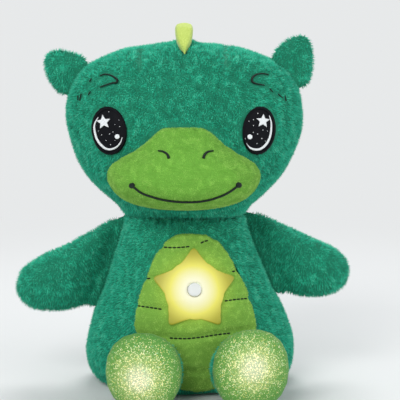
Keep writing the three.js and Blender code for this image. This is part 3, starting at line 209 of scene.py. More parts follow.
def new_finish(name, **settings):
    """A new material, its nodes and its shader, with the shader's own sockets set."""
    finish = bpy.data.materials.new(name)
    finish.use_nodes = True
    shader = finish.node_tree.nodes["Principled BSDF"]
    for socket, value in settings.items():
        shader.inputs[socket.replace("_", " ")].default_value = value
    return finish, finish.node_tree, shader


def rgb(red, green, blue):
    """A colour as it is read off a screen, from 0 to 255, made linear."""
    parts = [part / 255 for part in (red, green, blue)]
    return (*(part / 12.92 if part < 0.04 else ((part + 0.055) / 1.055) ** 2.4 for part in parts), 1)


# Fine grain of a moulding or a metal, and the slow wandering of its tone
grain, grain_in, grain_out = new_group(
    "fine grain", "ShaderNodeTree", (("Size", "Float", 0.0005),), (("Height", "Float"), ("Tone", "Float"))
)
for output, coarser, detail in (("Height", 1.0, 3.0), ("Tone", 0.04, 2.0)):
    closeness = worked(grain, "DIVIDE", coarser, grain_in["Size"])
    spots = add(grain, "ShaderNodeTexNoise", {"Vector": place_on(grain), "Scale": closeness, "Detail": detail})
    joined(grain, spots.outputs[0], grain_out[output])


def relief(tree, height, depth, strength=0.5):
    """The normal of a surface that rises by a height over a depth."""
    return add(tree, "ShaderNodeBump", {"Height": height, "Strength": strength, "Distance": depth}).outputs[0]


def hard_finish(name, low, high, rough, size=0.0005, depth=0.00004, **settings):
    """A finish whose tone and roughness wander a little, with a fine grain."""
    finish, tree, shader = new_finish(name, **settings)
    fine = add(tree, "ShaderNodeGroup", {"Size": size}, node_tree=grain).outputs
    joined(tree, blended(tree, fine["Tone"], low, high), shader.inputs["Base Color"])
    joined(tree, ranged(tree, fine["Tone"], rough - 0.07, rough + 0.07), shader.inputs["Roughness"])
    joined(tree, relief(tree, fine["Height"], depth), shader.inputs["Normal"])
    return finish


def painted(finish, *names):
    """Gives CAD nodes a finish."""
    for name in names:
        for slot in nodes[name].material_slots:
            slot.material = finish


white_plastic = hard_finish("white moulding", rgb(226, 226, 220), rgb(240, 240, 235), 0.42)
milky = hard_finish(
    "milky diffuser", rgb(236, 234, 214), rgb(250, 248, 232), 0.35, Subsurface_Weight=0.4, Emission_Strength=0.25,
    Emission_Color=(1, 0.93, 0.62, 1),
)
silver = hard_finish("satin steel", rgb(150, 152, 155), rgb(190, 192, 196), 0.32, size=0.0003, Metallic=1)
black_plastic = hard_finish("black moulding", rgb(22, 23, 25), rgb(38, 39, 42), 0.5)
button_plastic = hard_finish(
    "button moulding", rgb(206, 208, 206), rgb(228, 230, 226), 0.3, depth=0.00002, Coat_Weight=0.3
)
lamp_resin = hard_finish(
    "lamp resin", rgb(244, 236, 190), rgb(252, 248, 220), 0.15, Coat_Weight=0.5, Emission_Strength=0.6,
    Emission_Color=(1, 0.9, 0.55, 1),
)
painted(white_plastic, "reflector", "puck_case", "puck_back")
painted(milky, "star_diffuser")
painted(silver, "puck_screw_1", "puck_screw_2", "puck_screw_3", "button_spring")
painted(black_plastic, "switch_body")
painted(button_plastic, "button_plunger")

# The spring, which closes up as the button goes in, gets a mesh of its own
spring = nodes["button_spring"]
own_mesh(spring)

# The board is green, with paler tracks running over it and tinned pads between them
BOARD_TRACK = 0.0016
PAD_SPACING = 0.005
PAD_SHARE = 0.13
board, board_tree, board_shader = new_finish("lamp board", Roughness=0.35)
flat = {"Vector": place_on(board_tree), "Rotation": (math.pi / 2, 0, 0)}
turned = add(board_tree, "ShaderNodeMapping", flat).outputs[0]
tracks = add(board_tree, "ShaderNodeTexBrick", {
    "Vector": turned, "Color1": rgb(24, 98, 56), "Color2": rgb(20, 88, 50), "Mortar": rgb(70, 150, 92),
    "Scale": 1.0, "Mortar Size": BOARD_TRACK / 9, "Brick Width": BOARD_TRACK * 3, "Row Height": BOARD_TRACK,
}).outputs[0]
spots = add(board_tree, "ShaderNodeTexVoronoi", {"Vector": turned, "Scale": 1 / PAD_SPACING}).outputs["Distance"]
pads = worked(board_tree, "LESS_THAN", spots, PAD_SHARE)
joined(board_tree, blended(board_tree, pads, tracks, rgb(196, 196, 190)), board_shader.inputs["Base Color"])
joined(board_tree, pads, board_shader.inputs["Metallic"])
painted(board, "light_board")

# Foot lights
# A small white cup in each foot with one lamp on its board, under a milky lens that lights
# the sole from inside.
for side in ("right", "left"):
    painted(white_plastic, "foot_light_case_" + side)
    painted(lamp_resin, "foot_led_" + side)
    painted(milky, "foot_light_dome_" + side)

# Battery case
# A white case in the back with a screwed door, three cells laid head to tail, and strips of
# spring steel that join them.
CELL_BAND = 0.012
painted(white_plastic, "battery_case", "battery_door")
painted(silver, "door_screw", "contact_strip_left", "contact_strip_right")
cell_wrap, wrap_in, wrap_out = new_group(
    "cell wrap", "ShaderNodeTree", (("Way", "Float", 1.0), ("Dark", "Color"), ("Band", "Float", CELL_BAND)),
    (("Base Color", "Color"), ("Metallic", "Float")),
)
along = add(cell_wrap, "ShaderNodeTexCoord").outputs
run = add(cell_wrap, "ShaderNodeSeparateXYZ", {0: along["Object"]}).outputs[0]
facing = add(cell_wrap, "ShaderNodeSeparateXYZ", {0: along["Normal"]}).outputs[0]
copper = worked(cell_wrap, "GREATER_THAN", worked(cell_wrap, "MULTIPLY", run, wrap_in["Way"]), wrap_in["Band"])
ends = worked(cell_wrap, "GREATER_THAN", worked(cell_wrap, "ABSOLUTE", facing), 0.9)
coppered = blended(cell_wrap, copper, wrap_in["Dark"], rgb(196, 122, 66))
joined(cell_wrap, blended(cell_wrap, ends, coppered, rgb(190, 192, 196)), wrap_out["Base Color"])
joined(cell_wrap, ends, wrap_out["Metallic"])


def laid_on(finish, effect, **inputs):
    """Lays an effect's node group on a finish, by the shader sockets that its outputs are named after."""
    tree = finish.node_tree
    laid = add(tree, "ShaderNodeGroup", {name.replace("_", " "): value for name, value in inputs.items()},
               node_tree=effect)
    for output in laid.outputs:
        joined(tree, output, tree.nodes["Principled BSDF"].inputs[output.name])


for name, way in (("cell_1", 1.0), ("cell_2", -1.0), ("cell_3", 1.0)):
    wrap = hard_finish(name + " wrap", rgb(40, 42, 46), rgb(52, 54, 58), 0.3, Coat_Weight=0.4)
    dark = wrap.node_tree.nodes["Principled BSDF"].inputs["Base Color"].links[0].from_socket
    laid_on(wrap, cell_wrap, Way=way, Dark=dark, Band=CELL_BAND)
    painted(wrap, name)

# Wires
# Twin-core leads with a soft black coat, from the battery case to the star light and from
# there through the filling to each foot.
lead = hard_finish("lead coat", rgb(24, 25, 27), rgb(34, 35, 38), 0.6, size=0.0004)
painted(lead, "supply_wire", "hip_wire_right", "hip_wire_left", "leg_wire_right", "leg_wire_left")

# Torso
# A barrel of dark plush sewn in panels round a filling of fibre, with a room for the star
# lamp in the belly and one for the battery case in the back. Its cloth lies a little under
# the tips of the pile, and the seams draw it in.
PILE_DROP = 0.0022
DROP_START = 0.001
DROP_RUN = 0.005
LAMP_MOUTH = 0.0295
LAMP_ROOM = 0.0392
LAMP_CUTS = (
    (0.03, -0.004, LAMP_MOUTH, LAMP_MOUTH), (-0.002, -0.0092, LAMP_MOUTH, LAMP_ROOM),
    (-0.009, -0.058, LAMP_ROOM, LAMP_ROOM),
)
RIM_REACH = 0.008
RIM_FADE = 0.003
RIM_LIFT = 0.0006
FLAP_SEAM = 0.0018
FLAP_SEAM_FADE = 0.0015
FLOOR_GAP = 0.0004
CASE_ROOM = ((-0.0305, 0.0272, 0.0382), (0.0305, 0.075, 0.0876))


def cad_form(*names):
    """CAD nodes as one bmesh, with their loose triangles merged."""
    form = bmesh.new()
    for name in names:
        form.from_mesh(nodes[name].data)
    bmesh.ops.remove_doubles(form, verts=form.verts, dist=1e-5)
    form.normal_update()
    return form


def cad_surface(*names):
    """A search tree over the faces of CAD nodes."""
    return BVHTree.FromBMesh(cad_form(*names))


def clamped(value):
    """A value kept between 0 and 1."""
    return min(1, max(0, value))


def outer_form(name):
    """The outside of a hollow cover alone, closed over its holes."""
    form = cad_form(name)
    walls = BVHTree.FromBMesh(form)
    ball = bmesh.new()
    bmesh.ops.create_icosphere(ball, subdivisions=2, radius=1)
    ways = [vert.co.normalized() for vert in ball.verts]
    ball.free()

    def shut_in(face):
        """Whether most of what a face looks at is the cover itself."""
        start = face.calc_center_median() + face.normal * 1e-4
        ahead = [way for way in ways if way.dot(face.normal) > 0.2]
        return sum(1 for way in ahead if walls.ray_cast(start, way)[0]) > len(ahead) / 2

    bmesh.ops.delete(form, geom=[face for face in form.faces if shut_in(face)], context="FACES")
    bmesh.ops.holes_fill(form, edges=form.edges, sides=0)
    return form


def applied(piece):
    """Makes a piece's modifiers part of its mesh."""
    shown = piece.evaluated_get(bpy.context.evaluated_depsgraph_get())
    mesh = bpy.data.meshes.new_from_object(shown)
    piece.modifiers.clear()
    piece.data = mesh
    return piece


def settled(form, name, voxel, rounds, levels=0):
    """A form as even cloth, with its facets smoothed away."""
    cloth = made_object(form, name)
    even = cloth.modifiers.new("even mesh", "REMESH")
    even.mode = "VOXEL"
    even.voxel_size = voxel
    even.use_smooth_shade = True
    soft = cloth.modifiers.new("soft", "SMOOTH")
    soft.iterations = rounds
    if levels:
        fine = cloth.modifiers.new("fine", "SUBSURF")
        fine.levels = fine.render_levels = levels
    return applied(cloth)


def moved_out(piece, distance_at):
    """Moves each vertex out along its normal by distance_at(place, normal)."""
    mesh = piece.data
    normals = [v.normal.copy() for v in mesh.vertices]
    for vertex, normal in zip(mesh.vertices, normals):
        vertex.co += normal * distance_at(vertex.co, normal)
    mesh.update()


def drop_beside(*names):
    """How far a cloth lies under its pile: not at all beside other pieces, PILE_DROP away from them."""
    beside = cad_surface(*names)
    return lambda place: PILE_DROP * clamped((beside.find_nearest(place)[3] - DROP_START) / DROP_RUN)


def surface_of(piece):
    """A search tree over a piece's faces."""
    return BVHTree.FromPolygons([v.co for v in piece.data.vertices], [p.vertices for p in piece.data.polygons])


def lumps(place, size, seed=0.0):
    """Soft unevenness from -1 to 1 over stuffing, one lump to a size."""
    return noise.noise(place / size + Vector((seed, seed, seed)))


LINE_STEP = 0.001


def line_search(points):
    """A search tree over points along a line, for the distance to it."""
    places = []
    for start, end in zip(points, points[1:]):
        count = max(1, math.ceil((end - start).length / LINE_STEP))
        places += [start.lerp(end, i / count) for i in range(count)]
    places.append(points[-1])
    tree = KDTree(len(places))
    for i, place in enumerate(places):
        tree.insert(place, i)
    tree.balance()
    return tree


def cut_away(piece, *cutters):
    """Cuts rooms out of a piece, and clears the cutters away."""
    for cutter in cutters:
        cut = piece.modifiers.new("room", "BOOLEAN")
        cut.operation = "DIFFERENCE"
        cut.object = cutter
    applied(piece)
    for cutter in cutters:
        bpy.data.objects.remove(cutter)


def box_form(low, high):
    """A plain box between two corners."""
    form = bmesh.new()
    bmesh.ops.create_cube(form, size=1)
    low, high = Vector(low), Vector(high)
    bmesh.ops.scale(form, vec=high - low, verts=form.verts)
    bmesh.ops.translate(form, vec=(low + high) / 2, verts=form.verts)
    return form


# The pile: tufts on a cloth, thinned by its "pile" attribute, leaning down and together in
# small clumps, each with its own shade and its own cell of the bake's map.
UPRIGHT = 0.75
STRAY = 0.28
GROWTH = {2: 0.72, 3: 1.2}
NAP_SHARE = 1.6
sewn_pile, pile_in, pile_out = new_group(
    "sewn pile", "GeometryNodeTree",
    (("Cloth", "Geometry"), ("Tuft", "Object"), ("Density", "Float"), ("Length", "Float"), ("Lean", "Float"),
     ("Clump", "Float"), ("Clump size", "Float"), ("Seed", "Int")),
    (("Pile", "Geometry"),),
)


def stitch(kind, inputs=(), output=0, **options):
    """An output of a new node of the pile."""
    return add(sewn_pile, kind, inputs, **options).outputs[output]


def number(kind, *values):
    """A sum of numbers in the pile's nodes."""
    return worked(sewn_pile, kind, *values)


def arrow(kind, first, second):
    """A sum of two arrows in the pile's nodes."""
    return stitch("ShaderNodeVectorMath", {0: first, "Scale" if kind == "SCALE" else 1: second}, operation=kind)


def kept(name, form="FLOAT"):
    """A value that the mesh carries."""
    return stitch("GeometryNodeInputNamedAttribute", {"Name": name}, data_type=form)


def keep(geometry, name, value, form, domain):
    """Gives the mesh a value to carry."""
    carried = {"Geometry": geometry, "Name": name, "Value": value}
    return stitch("GeometryNodeStoreNamedAttribute", carried, data_type=form, domain=domain)


thinning = kept("pile")
places = add(sewn_pile, "GeometryNodeDistributePointsOnFaces", {
    "Mesh": pile_in["Cloth"], "Density": number("MULTIPLY", pile_in["Density"], thinning), "Seed": pile_in["Seed"],
}).outputs
patches = stitch("ShaderNodeTexNoise", {
    "Vector": stitch("GeometryNodeInputPosition"), "Scale": number("DIVIDE", 1, pile_in["Clump size"]), "Detail": 1.0,
}, "Color")
clumped = arrow("SCALE", arrow("SUBTRACT", patches, (0.5, 0.5, 0.5)), pile_in["Clump"])
strays = stitch("FunctionNodeRandomValue", {"Min": (-STRAY,) * 3, "Max": (STRAY,) * 3, "Seed": 1},
                data_type="FLOAT_VECTOR")
down = stitch("ShaderNodeCombineXYZ", {"Z": number("MULTIPLY", pile_in["Lean"], -1)})
upright = arrow("SCALE", places["Normal"], UPRIGHT)
way = arrow("ADD", arrow("ADD", upright, clumped), arrow("ADD", strays, down))
turn = stitch("FunctionNodeAlignRotationToVector", {"Vector": way}, axis="Z")
growth = stitch("FunctionNodeRandomValue", {**GROWTH, "Seed": 2}, 1, data_type="FLOAT")
reach = number("MULTIPLY", number("MULTIPLY", pile_in["Length"], growth), number("SQRT", thinning))
size = stitch("ShaderNodeCombineXYZ", {"X": 1, "Y": 1, "Z": reach})
tuft_shape = stitch("GeometryNodeObjectInfo", {"Object": pile_in["Tuft"]}, "Geometry")
tufts = stitch("GeometryNodeInstanceOnPoints", {
    "Points": places["Points"], "Instance": tuft_shape, "Rotation": turn, "Scale": size,
})
shade = stitch("FunctionNodeRandomValue", {2: 0.0, 3: 1.0, "Seed": 3}, 1, data_type="FLOAT")
tufts = keep(tufts, "shade", shade, "FLOAT", "INSTANCE")
tufts = keep(tufts, "cell", stitch("GeometryNodeInputIndex"), "FLOAT", "INSTANCE")
tufts = keep(tufts, "nap", places["Normal"], "FLOAT_VECTOR", "INSTANCE")
count = stitch("GeometryNodeAttributeDomainSize", {0: places["Points"]}, "Point Count", component="POINTCLOUD")
across = number("CEIL", number("SQRT", count))
cell = kept("cell")
corner = stitch("ShaderNodeCombineXYZ", {
    "X": number("MODULO", cell, across), "Y": number("FLOOR", number("DIVIDE", cell, across)),
})
packed = arrow("SCALE", arrow("ADD", kept("OFBake", "FLOAT_VECTOR"), corner), number("DIVIDE", 1, across))
mapped = keep(stitch("GeometryNodeRealizeInstances", {0: tufts}), "OFBake", packed, "FLOAT2", "CORNER")
nap = arrow("SCALE", kept("nap", "FLOAT_VECTOR"), NAP_SHARE)
softened = arrow("NORMALIZE", arrow("ADD", nap, stitch("GeometryNodeInputNormal")), (0, 0, 0))
soft_lit = stitch("GeometryNodeSetMeshNormal", {"Mesh": mapped, "Custom Normal": softened},
                  mode="FREE", domain="POINT")
joined(sewn_pile, soft_lit, pile_out[0])


def bare_near(lines, width, least=0.0):
    """How full the pile is beside sewn lines: least on them, 1 away from them."""
    trees = [line_search(points) for points in lines]

    def fullness(place):
        away = min(tree.find(place)[2] for tree in trees)
        return min(1, max(least, away / width - 0.6))

    return fullness


COVER_DEPTH = 0.003
COVER_REACH = 0.01
PILE_EDGE = 0.0012


def pile(cloth, name, covers=(), length=0.003, density=900000, lean=0.35, clump=1.2, clump_size=0.006,
         width=0.00062, seed=1, margin=0.0004, floor=0.003, fullness=None, facing=None):
    """A pile of tufts on a cloth, bare where covers lie on it and where it meets the floor."""
    covering = cad_surface(*covers) if covers else None
    base = bpy.data.objects.new(name, cloth.data.copy())
    scene.collection.objects.link(base)
    thin = base.data.attributes.new("pile", "FLOAT", "POINT")
    for i, vertex in enumerate(base.data.vertices):
        place = vertex.co
        near = covering.find_nearest(place)[3] if covering else 1
        full = min(1, (near - margin) / PILE_EDGE, (place.z - floor) / floor)
        if covering and covering.ray_cast(place - vertex.normal * COVER_DEPTH, vertex.normal, COVER_REACH)[0]:
            full = 0
        if fullness:
            full = min(full, fullness(place))
        if facing and not facing(vertex.normal):
            full = 0
        thin.data[i].value = max(0, full)
    form = bmesh.new()
    bmesh.ops.create_cone(form, cap_ends=True, segments=3, radius1=width / 2, radius2=0, depth=1)
    bmesh.ops.remove_doubles(form, verts=form.verts, dist=1e-6)
    bmesh.ops.translate(form, vec=(0, 0, 0.5), verts=form.verts)
    for face in form.faces:
        face.smooth = True
    template = made_object(form, "tuft")
    tips = template.data.attributes.new("tip", "FLOAT", "POINT")
    for i, vertex in enumerate(template.data.vertices):
        tips.data[i].value = 1 if vertex.co.z > 0.5 else 0
    cells = template.data.uv_layers.new(name="OFBake")
    for polygon in template.data.polygons:
        for turn_at, loop in enumerate(polygon.loop_indices):
            top = template.data.vertices[template.data.loops[loop].vertex_index].co.z > 0.5
            cells.data[loop].uv = (0.5, 0.95) if top else (0.08 + 0.84 * (turn_at % 2), 0.05 + 0.1 * (turn_at // 2))
    sewing = base.modifiers.new("pile", "NODES")
    sewing.node_group = sewn_pile
    values = {"Tuft": template, "Density": float(density), "Length": length, "Lean": lean, "Clump": clump,
              "Clump size": clump_size, "Seed": seed}
    for item in sewn_pile.interface.items_tree:
        if item.name in values:
            sewing[item.identifier] = values[item.name]
    applied(base)
    bpy.data.objects.remove(template)
    return base


# Colour of a pile: painted shade at its roots and painted sheen at its tips, mottled with painted
# sheen and shade where it lies this way and that, with each tuft a little different.
pile_colour, tone_in, tone_out = new_group(
    "pile colour", "ShaderNodeTree",
    (("Deep", "Color"), ("Mid", "Color"), ("Light", "Color"), ("Mottle size", "Float", 0.006)),
    (("Base Color", "Color"),),
)
mottle = add(pile_colour, "ShaderNodeTexNoise", {
    "Vector": place_on(pile_colour), "Scale": worked(pile_colour, "DIVIDE", 1.0, tone_in["Mottle size"]),
    "Detail": 2.0, "Roughness": 0.6,
}).outputs[0]
spread = ranged(pile_colour, mottle, -0.25, 0.3, 0.3, 0.7)
tip = add(pile_colour, "ShaderNodeAttribute", attribute_name="tip").outputs["Fac"]
tuft_shade = add(pile_colour, "ShaderNodeAttribute", attribute_name="shade").outputs["Fac"]
tuft_part = worked(pile_colour, "MULTIPLY_ADD", tuft_shade, 0.34, -0.1)
# Painted shade low in the pile, rising to painted sheen at the tips and in light patches
level = worked(pile_colour, "ADD", worked(pile_colour, "MULTIPLY_ADD", tip, 0.62, tuft_part), spread)
deep_mid = blended(pile_colour, ranged(pile_colour, level, 0.0, 1.0, 0.0, 0.45), tone_in["Deep"], tone_in["Mid"])
tone = blended(pile_colour, ranged(pile_colour, level, 0.0, 1.0, 0.45, 1.05), deep_mid, tone_in["Light"])
joined(pile_colour, tone, tone_out[0])


def pile_finish(name, deep, mid, light, mottle_size=0.006):
    """Plush of one colour, for its pile and for the cloth under it, with painted shade and sheen."""
    finish = new_finish(name, Roughness=0.85, Sheen_Weight=0.15, Sheen_Tint=light, Sheen_Roughness=0.4)[0]
    laid_on(finish, pile_colour, Deep=deep, Mid=mid, Light=light, Mottle_size=mottle_size)
    return finish


dark_plush = pile_finish("dark plush", rgb(8, 122, 92), rgb(22, 188, 150), rgb(116, 228, 190))


def finished(piece, body, slot, finish, *replaced):
    """Gives a piece its finish, its body and the CAD nodes it stands for; its slot is not used."""
    piece.data.materials.clear()
    piece.data.materials.append(finish)
    for polygon in piece.data.polygons:
        polygon.use_smooth = True
        polygon.material_index = 0
    if body:
        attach(piece, body)
    if replaced:
        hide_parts(*replaced)


def stuffed(cloth, tufts, body, slot, finish, fill, *replaced):
    """Finishes a padded cloth and the piles on it."""
    finished(cloth, body, slot, finish, *replaced)
    for tuft_share in tufts:
        finished(tuft_share, body, slot, finish)


VIEW_PIXELS = 400


def seen(surface, spots, lift=0.0):
    """Places on a surface under spots of the view, counted in its pixels from the top left."""
    eye = camera.matrix_world.translation
    turn = camera.matrix_world.to_3x3()
    found = []
    for across, down in spots:
        right, up = ((share - 0.5) * FRAME_WIDTH for share in (across / VIEW_PIXELS, 1 - down / VIEW_PIXELS))
        place, normal = surface.ray_cast(eye, (turn @ Vector((right, up, -VIEW_DISTANCE))).normalized())[:2]
        if place:
            found.append(place + normal * lift)
    return found


ROUND_STEPS = 6


def rounded(spots):
    """A smooth run of spots through a few given ones."""
    ends = [spots[0], *spots, spots[-1]]
    run = []
    for a, b, c, d in zip(ends, ends[1:], ends[2:], ends[3:]):
        for i in range(ROUND_STEPS):
            t = i / ROUND_STEPS
            run.append(tuple(
                0.5 * (2 * q + (r - p) * t + (2 * p - 5 * q + 4 * r - s) * t * t + (3 * q - p - 3 * r + s) * t**3)
                for p, q, r, s in zip(a, b, c, d)
            ))
    return [*run, spots[-1]]


TORSO_CAD = cad_surface("torso_cover")
torso = settled(outer_form("torso_cover"), "torso_cloth", voxel=0.003, rounds=25)
NECK_SEAM = 0.139
NECK_FOLDS = 52
NECK_FOLD_REACH = 0.014
NECK_FOLD_DEPTH = 0.0009
CHIN_MIDDLE = -0.022
CHIN_HALF = 0.022
CHIN_GATHER = 2.2


def neck_folds(place):
    """The puckers under the neck seam, deepest at the seam."""
    depth = max(0, 1 - (NECK_SEAM - place.z) / NECK_FOLD_REACH)
    gathered = 1 + CHIN_GATHER * math.exp(-(((place.x - CHIN_MIDDLE) / CHIN_HALF) ** 2)) * (place.y < 0)
    pucker = math.sin(NECK_FOLDS * math.atan2(place.y, place.x)) + lumps(place, 0.005, 9)
    return depth * depth * gathered * NECK_FOLD_DEPTH * pucker


TORSO_COVERS = ("belly_panel", "back_flap", "flap_loop_strip", "tail", "crest_spike_5")
torso_drop = drop_beside(*TORSO_COVERS, "head_cover")
moved_out(
    torso, lambda place, normal: 0.0012 * lumps(place, 0.024) * torso_drop(place) / PILE_DROP
    + neck_folds(place) - (0 if place.z < 0.004 else torso_drop(place)),
)
for vertex in torso.data.vertices:
    vertex.co.z = max(vertex.co.z, FLOOR_GAP)
# Over the rim of the lamp the cloth is drawn tight
lamp_rim = cad_surface("reflector", "star_diffuser")
tight = BVHTree.FromBMesh(outer_form("torso_cover"))
for vertex in torso.data.vertices:
    drawn = clamped((RIM_REACH - lamp_rim.find_nearest(vertex.co)[3]) / RIM_FADE)
    place, normal = tight.find_nearest(vertex.co)[:2]
    vertex.co += (place + normal * RIM_LIFT - vertex.co) * drawn
flap_edge = cad_surface("back_flap")


def torso_fullness(place):
    """No pile over the room of the lamp or of the case, and little in the seam round the flap."""
    if place.y < 0:
        return 0 if (place - LAMP_CENTRE).cross(LAMP_WAY).length < LAMP_MOUTH else 1
    (left, _, low), (right, _, high) = CASE_ROOM
    if left < place.x < right and low < place.z < high:
        return 0
    return min(1, max(0, flap_edge.find_nearest(place)[3] - FLAP_SEAM) / FLAP_SEAM_FADE)


torso_piles = [
    pile(torso, f"torso_pile_{share}", TORSO_COVERS, seed=10 + share, density=560000, fullness=torso_fullness)
    for share in (1, 2)
]
# Under the chin the gathered cloth stands up in a short ruffle
NECK_RUFFLE = ((141, 216), (149, 219.5), (158, 221.5), (167, 219.5), (175, 221), (184, 219), (191, 216.5))
off_ruffle = bare_near([seen(surface_of(torso), rounded(NECK_RUFFLE))], 0.0022)
torso_piles.append(
    pile(torso, "neck_ruffle", length=0.0052, density=700000, lean=0.8, clump=2.2, clump_size=0.003,
         seed=14, fullness=lambda place: 1 - off_ruffle(place))
)


def lamp_cutter(front, back, front_radius, back_radius):
    """A round body on the lamp's axis, between two distances along it."""
    form = bmesh.new()
    ends = {"radius1": front_radius, "radius2": back_radius}
    bmesh.ops.create_cone(form, cap_ends=True, segments=64, depth=front - back, **ends)
    turn = (-LAMP_WAY).to_track_quat("Z", "Y").to_matrix().to_4x4()
    middle = Matrix.Translation(LAMP_CENTRE + LAMP_WAY * (front + back) / 2)
    bmesh.ops.transform(form, matrix=middle @ turn, verts=form.verts)
    return made_object(form, "lamp room")


# The mouth of the lamp's room stays inside the belly panel, and the room widens behind it
cut_away(torso, *(lamp_cutter(*cut) for cut in LAMP_CUTS), made_object(box_form(*CASE_ROOM), "case room"))
stuffed(torso, torso_piles, "torso", "dark_plush", dark_plush, 0.8, "torso_cover", "torso_stuffing")

# Belly panel
# A shield of short-pile lime velour, backed with wadding, sewn over the front of the torso
# and quilted by rows of dark running stitches. The star's light shows through it.
QUILT_ROWS = (
    ((158, 246.6), (175, 248.4), (192, 246.6), (205, 241.8), (226, 240.5)),
    ((143, 279), (165, 279), (195, 277), (220, 273), (240, 270)),
    ((136, 305.5), (164, 309.7), (195, 307), (225, 300.8), (252, 298)),
    ((134, 334), (160, 337), (185, 338.4), (216, 334.6), (256, 329)),
    ((176, 369), (190, 371), (204, 371.4), (224, 369)),
)
STITCH_RUNS = (
    ((160.7, 247), (175, 247.7), (190, 246.5)),
    ((201, 243), (205, 241.2), (209.8, 240.2)),
    ((232.4, 271.6), (239, 270.2)),
    ((136.8, 305.6), (150, 307.5), (165, 309.8)),
    ((225, 300.9), (238, 299.2), (251, 298.3)),
    ((170, 338), (185, 338.6), (200.7, 337.2), (216, 334.8), (231, 333)),
    ((146.7, 278.6), (151.8, 278.2)),
)
# A level from 1 at a lamp's middle to 0 at its reach, for light painted on a cloth round it
light_falloff, reach_in, reach_out = new_group(
    "light through cloth", "ShaderNodeTree", (("Middle", "Vector"), ("Reach", "Float", 0.03)), (("Level", "Float"),)
)
apart = add(
    light_falloff, "ShaderNodeVectorMath", {0: place_on(light_falloff), 1: reach_in["Middle"]}, operation="DISTANCE"
).outputs["Value"]
apart = worked(light_falloff, "DIVIDE", apart, reach_in["Reach"])
joined(light_falloff, ranged(light_falloff, apart, 1.0, 0.0, interpolation_type="SMOOTHSTEP"), reach_out["Level"])


def ramp(tree, level, *stops):
    """A run of colours over a level, from pairs of place and colour."""
    node = add(tree, "ShaderNodeValToRGB", {0: level})
    while len(node.color_ramp.elements) < len(stops):
        node.color_ramp.elements.new(0.5)
    for element, (place, colour) in zip(node.color_ramp.elements, stops):
        element.position = place
        element.color = colour
    return node.outputs[0]


def lit_through(finish, middle, reach, *glow):
    """Paints a lamp's light on a cloth as a glow round a middle, over a reach, in colours from dark to bright."""
    tree = finish.node_tree
    shader = tree.nodes["Principled BSDF"]
    level = add(tree, "ShaderNodeGroup", {"Middle": middle, "Reach": reach}, node_tree=light_falloff).outputs[0]
    joined(tree, ramp(tree, level, *glow), shader.inputs["Emission Color"])
    shader.inputs["Emission Strength"].default_value = 1
    return level


def laid_lines(surface, lines, lift=0.0):
    """Lines of the view laid on a surface, with their corners rounded."""
    return [seen(surface, rounded(line), lift) for line in lines]


def sewn_on(piece, carrier, reach, sink):
    """Draws the part of a piece that lies near its carrier into the seam between them."""
    for vertex in piece.data.vertices:
        place, _, _, away = carrier.find_nearest(vertex.co)
        if away < reach:
            pull = 1 - (away / reach) ** 2
            vertex.co += (place - vertex.co) * pull + (place - vertex.co).normalized() * sink * pull


def creased(piece, lines, width, depth):
    """Draws the cloth in along seam lines."""
    trees = [line_search(points) for points in lines]

    def drawn_in(place, normal):
        away = min(tree.find(place)[2] for tree in trees)
        return -depth * max(0, 1 - (away / width) ** 2) ** 2

    moved_out(piece, drawn_in)


velour = pile_finish("lime velour", rgb(116, 166, 60), rgb(152, 202, 82), rgb(194, 226, 130), mottle_size=0.004)
# Round the star the velour glows with painted light from the lamp behind it
lit_through(
    velour, LAMP_CENTRE + LAMP_WAY * 0.006, 0.05, (0, (0, 0, 0, 1)), (0.2, (0.012, 0.013, 0, 1)),
    (0.65, (0.12, 0.115, 0.01, 1)),
)
belly = settled(cad_form("belly_panel"), "belly_cloth", voxel=0.001, rounds=4)
sewn_on(belly, TORSO_CAD, reach=0.0026, sink=0.0022)
quilting = laid_lines(surface_of(belly), QUILT_ROWS)
moved_out(belly, lambda place, normal: 0.0005 + 0.0007 * lumps(place, 0.017, 2))
creased(belly, quilting, width=0.005, depth=0.0011)
stitching = laid_lines(surface_of(belly), STITCH_RUNS)
belly_pile = pile(
    belly, "belly_pile", ("star_window",), length=0.001, density=1500000, width=0.0006, lean=0.3, clump=1.0,
    clump_size=0.004, seed=12, margin=0.0008, floor=0.002, fullness=bare_near(stitching, 0.0012),
    facing=lambda normal: normal.y < -0.1,
)
stuffed(belly, [belly_pile], "torso", "belly_fabric", velour, 0.3, "belly_panel")

# Thread shows its plies as slanting ridges, with painted shade in the hollows and a painted highlight on their backs
plies, ply_in, ply_out = new_group(
    "thread plies", "ShaderNodeTree", (("Closeness", "Float", 620.0), ("Hollow", "Color"), ("Ridge", "Color")),
    (("Base Color", "Color"), ("Normal", "Vector")),
)
ridge = add(
    plies, "ShaderNodeTexWave", {"Vector": place_on(plies), "Scale": ply_in["Closeness"], "Distortion": 1.5},
    bands_direction="DIAGONAL",
).outputs["Fac"]
# Painted shade in the hollows between the plies, painted highlight on the ridges
joined(plies, blended(plies, ridge, ply_in["Hollow"], ply_in["Ridge"]), ply_out["Base Color"])
joined(plies, relief(plies, ridge, 0.0001), ply_out["Normal"])


def thread_finish(name, hollow, ridge, closeness=620.0, **settings):
    """Sewing or embroidery thread of one colour."""
    finish = new_finish(name, **settings)[0]
    laid_on(finish, plies, Closeness=closeness, Hollow=hollow, Ridge=ridge)
    return finish


dark_thread = thread_finish("dark thread", rgb(2, 12, 8), rgb(10, 32, 22), Roughness=0.6, Specular_IOR_Level=0.25)


